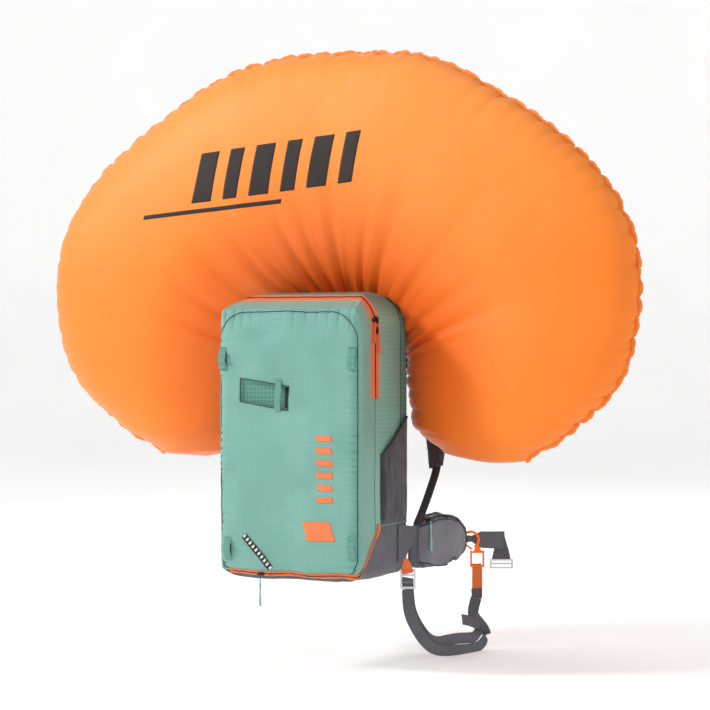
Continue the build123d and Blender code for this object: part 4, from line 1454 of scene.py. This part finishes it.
# ---------------------------------------------------------------- tool slot, loops and straps on the front
SLOT_SHALLOW, SLOT_DEEP = 2.0, 12.6
SLOT_LEFT, SLOT_RIGHT = SLOT[0][0], SLOT[1][0]
(LEFT_FOOT, RIGHT_FOOT, RIGHT_TOP, LEFT_TOP) = [z for _, z in SLOT]


def tray_depth(share):
    """The lining's depth at a share of the way from the slot's left end to its right end."""
    return SLOT_SHALLOW + (SLOT_DEEP - SLOT_SHALLOW) * share**0.8


def slot_tray():
    """The slot's lining: a tray that is shallow at its left end and deep at its right end."""
    columns, rows = 40, 18
    points = []
    for j in range(rows):
        for i in range(columns):
            share = i / (columns - 1)
            x = SLOT_LEFT + (SLOT_RIGHT - SLOT_LEFT) * share
            top = LEFT_TOP + (RIGHT_TOP - LEFT_TOP) * share
            foot = LEFT_FOOT + (RIGHT_FOOT - LEFT_FOOT) * share
            z = foot + (top - foot) * j / (rows - 1)
            on_rim = i in (0, columns - 1) or j in (0, rows - 1)
            sag = 0.0 if on_rim else tray_depth(share) - 1.2
            points.append((x, FRONT_Y + 1.0 + sag, z))
    points = np.array(points)
    points[:, 1] += 0.25 * noise(points, 12, 51)
    surface = on_front(points[:, [0, 2]])[:, 1]
    rim = points[:, 1] < FRONT_Y + 2.2
    points[rim, 1] = surface[rim] + 0.6
    obj = new_mesh("slot_tray", points, grid_faces(rows, columns))
    thicken(obj, 0.9, 1.0)
    # The lining takes the darker copy of the mint: painted shade in the recess.
    return dress(obj, MINT_SHADED, "front_flap", ["tool_slot"])


def slot_outline(margin):
    """The slot's edge drawn outwards by a margin, as a closed line."""
    ring = [(x + math.copysign(margin, x + 50), z + math.copysign(margin, z - 293)) for x, z in SLOT[::-1]]
    return straight([*ring, ring[0]], 2.0)


slot_tray()
KEEPER_X = -18.0
keeper = on_front([(KEEPER_X, z) for z in np.arange(257, 322, 1.5)], 1.6)
keeper[:, 1] += -0.6 * np.sin(np.linspace(0, math.pi, len(keeper)))
keeper[6:-6, 1] = np.minimum(keeper[6:-6, 1], FRONT_Y - 4.0)
ribbon("slot_keeper", seam_hem(keeper, 8), (1, 0, 0), 14, 1.3, MINT_WEBBING, "front_flap")
slot_stitch_line = on_front(slot_outline(5), 0.15)
stitches("slot_stitches", [slot_stitch_line], THREAD_MINT, "front_flap")
tube("slot_rim", on_front(slot_outline(0), 0.3), PIPING_RADIUS, PIPING, "front_flap")


def front_loop(name, x, low, high, stand, body, replaces=()):
    """A webbing loop sewn at both ends, standing off the front between them."""
    rise = straight([(x, low - 3), (x, high + 3)], 1.2)
    base = on_front(rise, 0.9)
    share = np.clip((rise[:, 1] - low - 5) / (high - low - 10), 0, 1)
    base[:, 1] -= stand * np.sin(share * math.pi) ** 0.6
    base[:, 1] = np.maximum(base[:, 1], FRONT_Y - 12)
    ribbon(name, base, (1, 0, 0), 17, 1.5, MINT_WEBBING, body, replaces)
    tack_heights = (low - 1, low + 2, high - 2, high + 1)
    tacks = [on_front(straight([(x - 6.5, z), (x + 6.5, z)], 1.0), 2.0) for z in tack_heights]
    stitches(f"{name}_tacks", tacks, THREAD_MINT, body, 2.0, 0.6, 0.4)


LOOP_OPEN, LOOP_FLAT = 6.5, 2.6
front_loop("ski_loop_upper_left", -146, 344, 385, LOOP_OPEN, "front_flap", ["ski_loops_upper"])
front_loop("ski_loop_upper_right", 147, 345, 385, LOOP_FLAT, "front_flap")
front_loop("ski_loop_lower_left", -136, -48, -7, LOOP_OPEN, "bag", ["ski_loops_lower"])
front_loop("ski_loop_lower_right", 147, -38, 4, LOOP_FLAT, "bag")

strap_run = straight([(-97, 1), (-67, -32), (-38, -64)], 1.5)
strap_line = on_front(strap_run, 1.6)
strap_line[:, 1] -= 1.1 * np.sin(np.linspace(0, math.pi, len(strap_line)))
ribbon("patterned_strap", seam_hem(strap_line, 12), (0.75, 0, 0.66), 13, 1.4, PATTERNED, "bag",
       ["tool_strap"])


def printed_on_front(plane):
    return on_front(plane, 0.35)


FRONT_PRINT = [(88, 78 + 25 * k, 36, 13, -0.3, 0) for k in range(6)] + [(74, 14, 62, 40, -0.3, 0)]
print_and_shade_bars("front_print", FRONT_PRINT, printed_on_front, PRINT_ORANGE, "bag")


# ---------------------------------------------------------------- soft pieces made from their CAD solids
def copy_of(node, name):
    mesh = frame["nodes"][node].data.copy()
    obj = link(bpy.data.objects.new(name, mesh))
    mesh.materials.clear()
    return obj


def remeshed_copy(name, node, voxel):
    """A CAD solid's copy as an even mesh of small faces."""
    obj = copy_of(node, name)
    modifier(obj, "REMESH", mode="VOXEL", voxel_size=voxel * MM)
    return apply_modifiers(obj)


def soft_copy(name, node, voxel, material, body, rough=0.4, rounds=4, grow=0.0):
    """Sewn webbing or cloth in the place of a CAD solid: its edges worn round and its faces uneven."""
    obj = remeshed_copy(name, node, voxel)
    points = relax(mesh_points(obj), obj.data, rounds)
    set_points(obj, points)
    lumps = rough * noise(points, 14, 61) + rough * 0.5 * noise(points, 5, 62) + grow
    set_points(obj, points + mesh_normals(obj) * lumps[:, None])
    shade_smooth(obj.data)
    return dress(obj, material, body, [node])


soft_copy("harness_yoke_sewn", "harness_yoke", 1.3, GREY_SOFT, "bag", 0.35, 2, 0.25)
soft_copy("strap_wings_sewn", "strap_wings", 1.0, GREY_SOFT, "bag", 0.3, 2, 0.3)
soft_copy("leg_anchor_tab", "leg_strap_tab", 0.7, ORANGE_WEBBING, "bag", 0.12, 2, 0.15)
soft_copy("leg_strap_end_sewn", "leg_strap_end", 0.9, ORANGE_WEBBING, "hip_fin_right",
          0.2, 3, 0.2)
soft_copy("trigger_pouch_sewn", "trigger_pouch", 1.0, GREY_SOFT, "shoulder_strap_left",
          0.35, 3, 0.2)
neck = soft_copy("airbag_neck_sewn", "airbag_neck", 1.1, AIRBAG, "bag", 0.3, 2, 0.3)
# The neck is pressed down, so that its top stays inside the bag.
NECK_FOOT, NECK_TOP = 447.0, 503.5
neck_high = corners("airbag_neck")[1][2]
neck_points = mesh_points(neck)
neck_rise = (neck_points[:, 2] - NECK_FOOT) * (NECK_TOP - NECK_FOOT) / (neck_high - NECK_FOOT)
neck_points[:, 2] = NECK_FOOT + neck_rise
set_points(neck, neck_points)


CLOTH_FRAMES = 20
AIR_PRESSURE = 4.0


def swell_cloth(obj):
    """Run the cloth simulation with air pressure inside, and keep its last frame."""
    cloth = obj.modifiers.new("Cloth", "CLOTH")
    cloth.settings.quality = 5
    cloth.settings.mass = 0.3
    cloth.settings.use_pressure = True
    cloth.settings.uniform_pressure_force = AIR_PRESSURE
    cloth.settings.effector_weights.gravity = 0.0
    cloth.point_cache.frame_start = 1
    cloth.point_cache.frame_end = CLOTH_FRAMES
    for number in range(1, CLOTH_FRAMES + 1):
        bpy.context.scene.frame_set(number)
    apply_modifiers(obj)
    bpy.context.scene.frame_set(1)


def inflate(name, node, material, body, voxel, shrink, cap, keep=None):
    """A padded piece: its CAD solid remeshed, a little smaller, and swelled by cloth under pressure."""
    obj = remeshed_copy(name, node, voxel)
    start = relax(mesh_points(obj), obj.data, 2)
    set_points(obj, start)
    start = start - mesh_normals(obj) * shrink
    set_points(obj, start)
    swell_cloth(obj)
    moved = mesh_points(obj) - start
    length = np.linalg.norm(moved, axis=1, keepdims=True)
    set_points(obj, start + moved * np.minimum(1, cap / np.maximum(length, 1e-9)))
    modifier(obj, "SUBSURF", levels=1, render_levels=1)
    apply_modifiers(obj)
    points = mesh_points(obj)
    wrinkled = 0.35 * noise(points, 22, 63) + 0.22 * noise(points, 9, 64)
    set_points(obj, points + mesh_normals(obj) * wrinkled[:, None])
    if keep is not None:
        set_points(obj, keep(mesh_points(obj)))
    shade_smooth(obj.data)
    dress(obj, material, body, [node])
    return obj


def mirror_of(obj, name, node, body):
    """The left piece, as the right one's mirror image."""
    mesh = obj.data.copy()
    mesh.transform(Matrix.Scale(-1, 4, (1, 0, 0)))
    mesh.flip_normals()
    twin = link(bpy.data.objects.new(name, mesh))
    dress(twin, obj.data.materials[0], body, [node])


def behind_the_face(points):
    """The pads' faces rest on the wearer's back, so none stands past it."""
    points = points.copy()
    points[:, 1] = np.clip(points[:, 1], BACK_Y - 1.0, 0.3)
    return points


for node, label, body, material, slot, voxel, shrink, cap in (
        ("hip_fin", "pad", "hip_fin", GREY_SOFT, "grey_fabric", 3.6, 1.2, 3.5),
        ("hip_pocket", "case", "hip_fin", POCKET_CLOTH, "grey_fabric", 3.6, 1.4, 3.5),
        ("shoulder_strap", "pad", "shoulder_strap", PAD_MESH, "padding", 3.8, 1.2, 3.0)):
    right_pad = inflate(f"{node}_right_{label}", f"{node}_right", material, f"{body}_right",
                        voxel, shrink, cap)
    mirror_of(right_pad, f"{node}_left_{label}", f"{node}_left", f"{body}_left")
inflate("back_pads_foam", "back_pads", PAD_MESH, "bag", 4.0, 1.4, 3.0, behind_the_face)


# ---------------------------------------------------------------- webbing of the harness and hip belt
LOWER_ROUTE = [
    (167.2, 118, 138), (169.8, 105, 119), (172.5, 78, 95), (176.4, 44, 66), (178.6, 14, 40), (180.3, -16, 16),
]


def lower_webbing(side, sign):
    """The webbing from the bag to the shoulder strap; its placement is baked into its mesh."""
    line = nurbs_line(mirrored_points(LOWER_ROUTE, sign), 14)
    obj = ribbon(f"lower_webbing_{side}", line, (sign, 0.25, 0.1), 18, 1.8, BLACK_WEBBING, None,
                 ["lower_webbing"])
    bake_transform(obj)


both_sides(lower_webbing)

HIP_LINE = [(182.5, 235, -34), (191, 247, -33), (202, 272, -37), (217, 305, -40), (232, 338, -42)]


def hip_webbing(side, sign):
    """Webbing from the hip fin's end, gathered where it is sewn and spread towards its buckle."""
    line = nurbs_line(mirrored_points(HIP_LINE, sign), 16)
    width = np.interp(np.linspace(0, 1, len(line)), [0, 0.2, 0.5, 1], [17, 13, 36, 39])
    ribbon(f"hip_webbing_{side}_sewn", line, (0.02 * sign, 0.05, 1), width, 1.9, GREY_WEBBING,
           f"hip_fin_{side}", [f"hip_webbing_{side}"])


both_sides(hip_webbing)
fold_path = nurbs_line([(224, 341.5, -26), (224.2, 341.4, -45), (224, 341.6, -66), (223.9, 341.6, -88)], 10)
ribbon("hip_webbing_folded", fold_path, IN_PICTURE, np.linspace(12, 43, len(fold_path)), 1.8, GREY_WEBBING,
       "hip_fin_right")


def sternum_webbing(side, sign):
    line = straight([(24 * sign, 148, 322), (69 * sign, 148, 322)], 2.0)
    ribbon(f"sternum_webbing_{side}", line, (0, 0, 1), 20.5, 2.6, BLACK_WEBBING, f"sternum_half_{side}")


both_sides(sternum_webbing)


# ---------------------------------------------------------------- the cloth walls inside the bag
def divider(name, y, grow, replaces=()):
    """A cloth wall across the bag, sewn in all round, with soft waves."""
    around, rings = 132, 26
    centre = np.array([0.0, y, 190.0])
    angles = np.arange(around) / around * 2 * math.pi
    ways = np.stack([np.cos(angles), np.zeros(around), np.sin(angles) * 1.6], axis=1)
    edge, _ = bag_exit(centre[None, :], ways)
    edge = centre + (edge - centre) * grow
    shares = np.linspace(0.03, 1, rings)
    points = np.concatenate([centre + (edge - centre) * share for share in shares])
    ring = np.repeat(shares, around)
    points[:, 1] += (2.2 * noise(points, 70, 71) + 1.0 * noise(points, 26, 72)) * np.sin(ring * math.pi)
    faces = grid_faces(rings, around, closed_columns=True) + [tuple(reversed(range(around)))]
    obj = new_mesh(name, points, faces)
    thicken(obj, 0.9)
    dress(obj, INNER_CLOTH, "bag", replaces)


divider("divider_front", ZIP_Y + 2.5, 0.985, ["dividers"])
divider("divider_rear", DIVIDER_Y, 0.98)


# ---------------------------------------------------------------- details of the hip belt
FIN_ZIP_ROUTE = [(183, 18, 16), (190, 52, 26), (197, 100, 26), (198, 140, 20), (194, 185, 4), (190, 218, -12)]
FIN_SLIDER_ROUTE = [(188, 33, 23.5), (189, 40, 24.5), (190, 47, 25)]


def fin_zip(side, sign):
    """The hip pocket's zip along the top of its case: tape, coil and slider."""
    tree = tree_of(bpy.data.objects[f"hip_pocket_{side}_case"])
    outside = nurbs_line(mirrored_points(FIN_ZIP_ROUTE, sign), 14) + [30 * sign, 0, 0]
    line = seam_hem(cast(tree, straight(outside, 0.9), (-sign, 0, 0), 0.2), 6)
    body = f"hip_fin_{side}"
    ribbon(f"hip_pocket_{side}_tape", line, (0, 0.05, 1), 9.0, 1.2, DARK_BINDING_AND_SHADE, body)
    ridge = 1.0 + 0.25 * np.sin(np.arange(len(line)) * 2.2)
    tube(f"hip_pocket_{side}_coil", line + [0.9 * sign, 0, 0], ridge, BLACK, body, sides=6)
    slider_line = straight(nurbs_line(mirrored_points(FIN_SLIDER_ROUTE, sign), 6), 1.0)
    ribbon(f"hip_pocket_{side}_slider", slider_line, (0, 0.05, 1), 8.5, 3.6, BLACK, body)


both_sides(fin_zip)


def behind_a_loop(plane):
    return on_front(plane, 0.5)


def on_tray_floor(plane):
    """Just in front of the slot lining's deep end."""
    depth = tray_depth((plane[:, 0] - SLOT_LEFT) / (SLOT_RIGHT - SLOT_LEFT))
    return np.stack([plane[:, 0], FRONT_Y + 1.0 + depth - 2.4, plane[:, 1]], axis=1)


# Sheets of painted shade: dark shapes behind the standing loops and at the slot's deep end, where shade
# falls.
for name, bar, put, body in (
        ("loop_painted_shade_upper", (-146, 364.5, 14.5, 27, 0, 0), behind_a_loop, "front_flap"),
        ("loop_painted_shade_lower", (-136, -27.5, 14.5, 27, 0, 0), behind_a_loop, "bag"),
        ("slot_painted_shade", (-3.5, 285, 13.5, 44, 0, 0), on_tray_floor, "front_flap")):
    print_and_shade_bars(name, [bar], put, DARK_BINDING_AND_SHADE, body)


BINDING_RADIUS = 1.7
# The hip pocket's bound edge, as (y, z).
POCKET_EDGE = [
    (16, 8), (50, 19), (100, 21), (150, 13), (190, -2), (216, -20), (216, -46), (190, -62), (150, -73),
    (100, -79), (50, -77), (16, -66),
]


def pocket_edges(side, sign):
    """The binding round the hip pocket's face, inside its edge."""
    ring = nurbs_line([(260 * sign, y, z) for y, z in POCKET_EDGE], 10)
    tree = tree_of(bpy.data.objects[f"hip_pocket_{side}_case"])
    line = cast(tree, straight(ring, 1.6), (-sign, 0, 0), BINDING_RADIUS * 0.35)
    tube(f"hip_pocket_{side}_binding", seam_hem(line, 8), BINDING_RADIUS, DARK_BINDING_AND_SHADE, f"hip_fin_{side}")


both_sides(pocket_edges)


STRAP_CENTRE = [
    (60, 12, 404), (66, 42, 422), (77, 82, 422), (92, 118, 396), (108, 144, 350), (126, 156, 292),
    (144, 150, 232), (159, 130, 176), (168, 110, 132),
]
STRAP_WIDTH = [56, 60, 62, 62, 62, 60, 56, 50, 37]


def strap_edges(side, sign):
    """Binding down both edges of a shoulder strap's outer face."""
    centre, width = np.array(STRAP_CENTRE, float), np.array(STRAP_WIDTH)
    tangent = unit(np.gradient(centre, axis=0))
    across = unit([1.0, 0, 0] - tangent * tangent[:, :1])
    outward = np.cross(tangent, across)
    outward = outward * np.sign(outward[:, 1:2] * 0.6 + outward[:, 2:3] + 1e-6)
    tree = tree_of(bpy.data.objects[f"shoulder_strap_{side}_pad"])
    for edge, label in ((-1, "inner"), (1, "outer")):
        route = centre + across * (edge * (width / 2 - 5))[:, None] + outward * 30
        fine, way = nurbs_line(route, 10), nurbs_line(outward, 10)
        line = []
        for place, ray in zip(fine, unit(way)):
            start = Vector(place * [sign, 1, 1]) * MM
            hit, normal, _, _ = tree.ray_cast(start, Vector(-ray * [sign, 1, 1]))
            if hit is not None:
                line.append(np.array(hit) / MM + np.array(normal) * 0.5)
        if len(line) > 8:
            tube(f"shoulder_strap_{side}_{label}_binding", seam_hem(np.array(line), 4), 1.5, DARK_BINDING_AND_SHADE,
                 f"shoulder_strap_{side}")


both_sides(strap_edges)

def threaded(name, route, width, thick, material, body=None):
    """Webbing threaded through a buckle or the hook, turned as it is in the picture."""
    return ribbon(name, nurbs_line(route, 8), IN_PICTURE, width, thick, material, body)


threaded("buckle_webbing", [
    (165.5, -30.2, -96), (165.2, -31.6, -101), (164.8, -29.0, -108), (164.2, -26.6, -115),
    (164.4, -28.6, -121.5),
], 24, 1.6, GREY_WEBBING, "leg_buckle")
anchor_piece = threaded("buckle_anchor_webbing", [
    (165.6, -31.8, -76), (165.4, -32.6, -80.5), (165.4, -32.3, -85), (165.6, -30.4, -87.5),
], 24, 1.8, ORANGE_WEBBING)
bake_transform(anchor_piece)
threaded("leg_strap_sewn_over", [
    (206.4, 241.6, -163), (205.2, 247.2, -157), (204.2, 247.6, -149), (203.8, 247.8, -143),
], 23, 1.7, GREY_WEBBING, "hip_fin_right")
threaded("hook_webbing_loop", [
    (203.6, 252.0, -98), (202.8, 250.6, -91.5), (203.0, 248.6, -88.4), (204.0, 246.6, -92),
], 21, 1.8, ORANGE_WEBBING, "hip_fin_right")

# ---------------------------------------------------------------- hard parts keep their CAD shape
FINISHES = [
    (ALUMINIUM, 0.5, ["leg_buckle", "hip_buckle", "frame_stays"]),
    (ORANGE_METAL, 0.7, ["leg_hook", "hook_gate"]),
    (BLACK, 0.5, ["base_slider", "main_slider", "upper_slider", "sternum_half_right", "sternum_half_left",
                  "inflator_housing", "inflator_cover", "fan_impeller", "check_valve"]),
    (ORANGE_PLASTIC, 1.4, ["trigger_handle"]),
    (ORANGE_PLASTIC, 0.5, ["power_switch"]),
    (ALUMINIUM, 0.4, ["fan_motor"]),
    (CELL_BLUE, 0.5, ["supercapacitors", "battery_cells"]),
    (BOARD_GREEN, 0.2, ["control_board"]),
]
EDGE_ANGLE = math.radians(35)
for material, edge, nodes in FINISHES:
    for node in nodes:
        part = frame["nodes"][node]
        for holder in part.material_slots:
            holder.material = material
        modifier(part, "BEVEL", width=edge * MM, segments=3, limit_method="ANGLE", angle_limit=EDGE_ANGLE)

bpy.context.view_layer.update()
low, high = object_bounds()
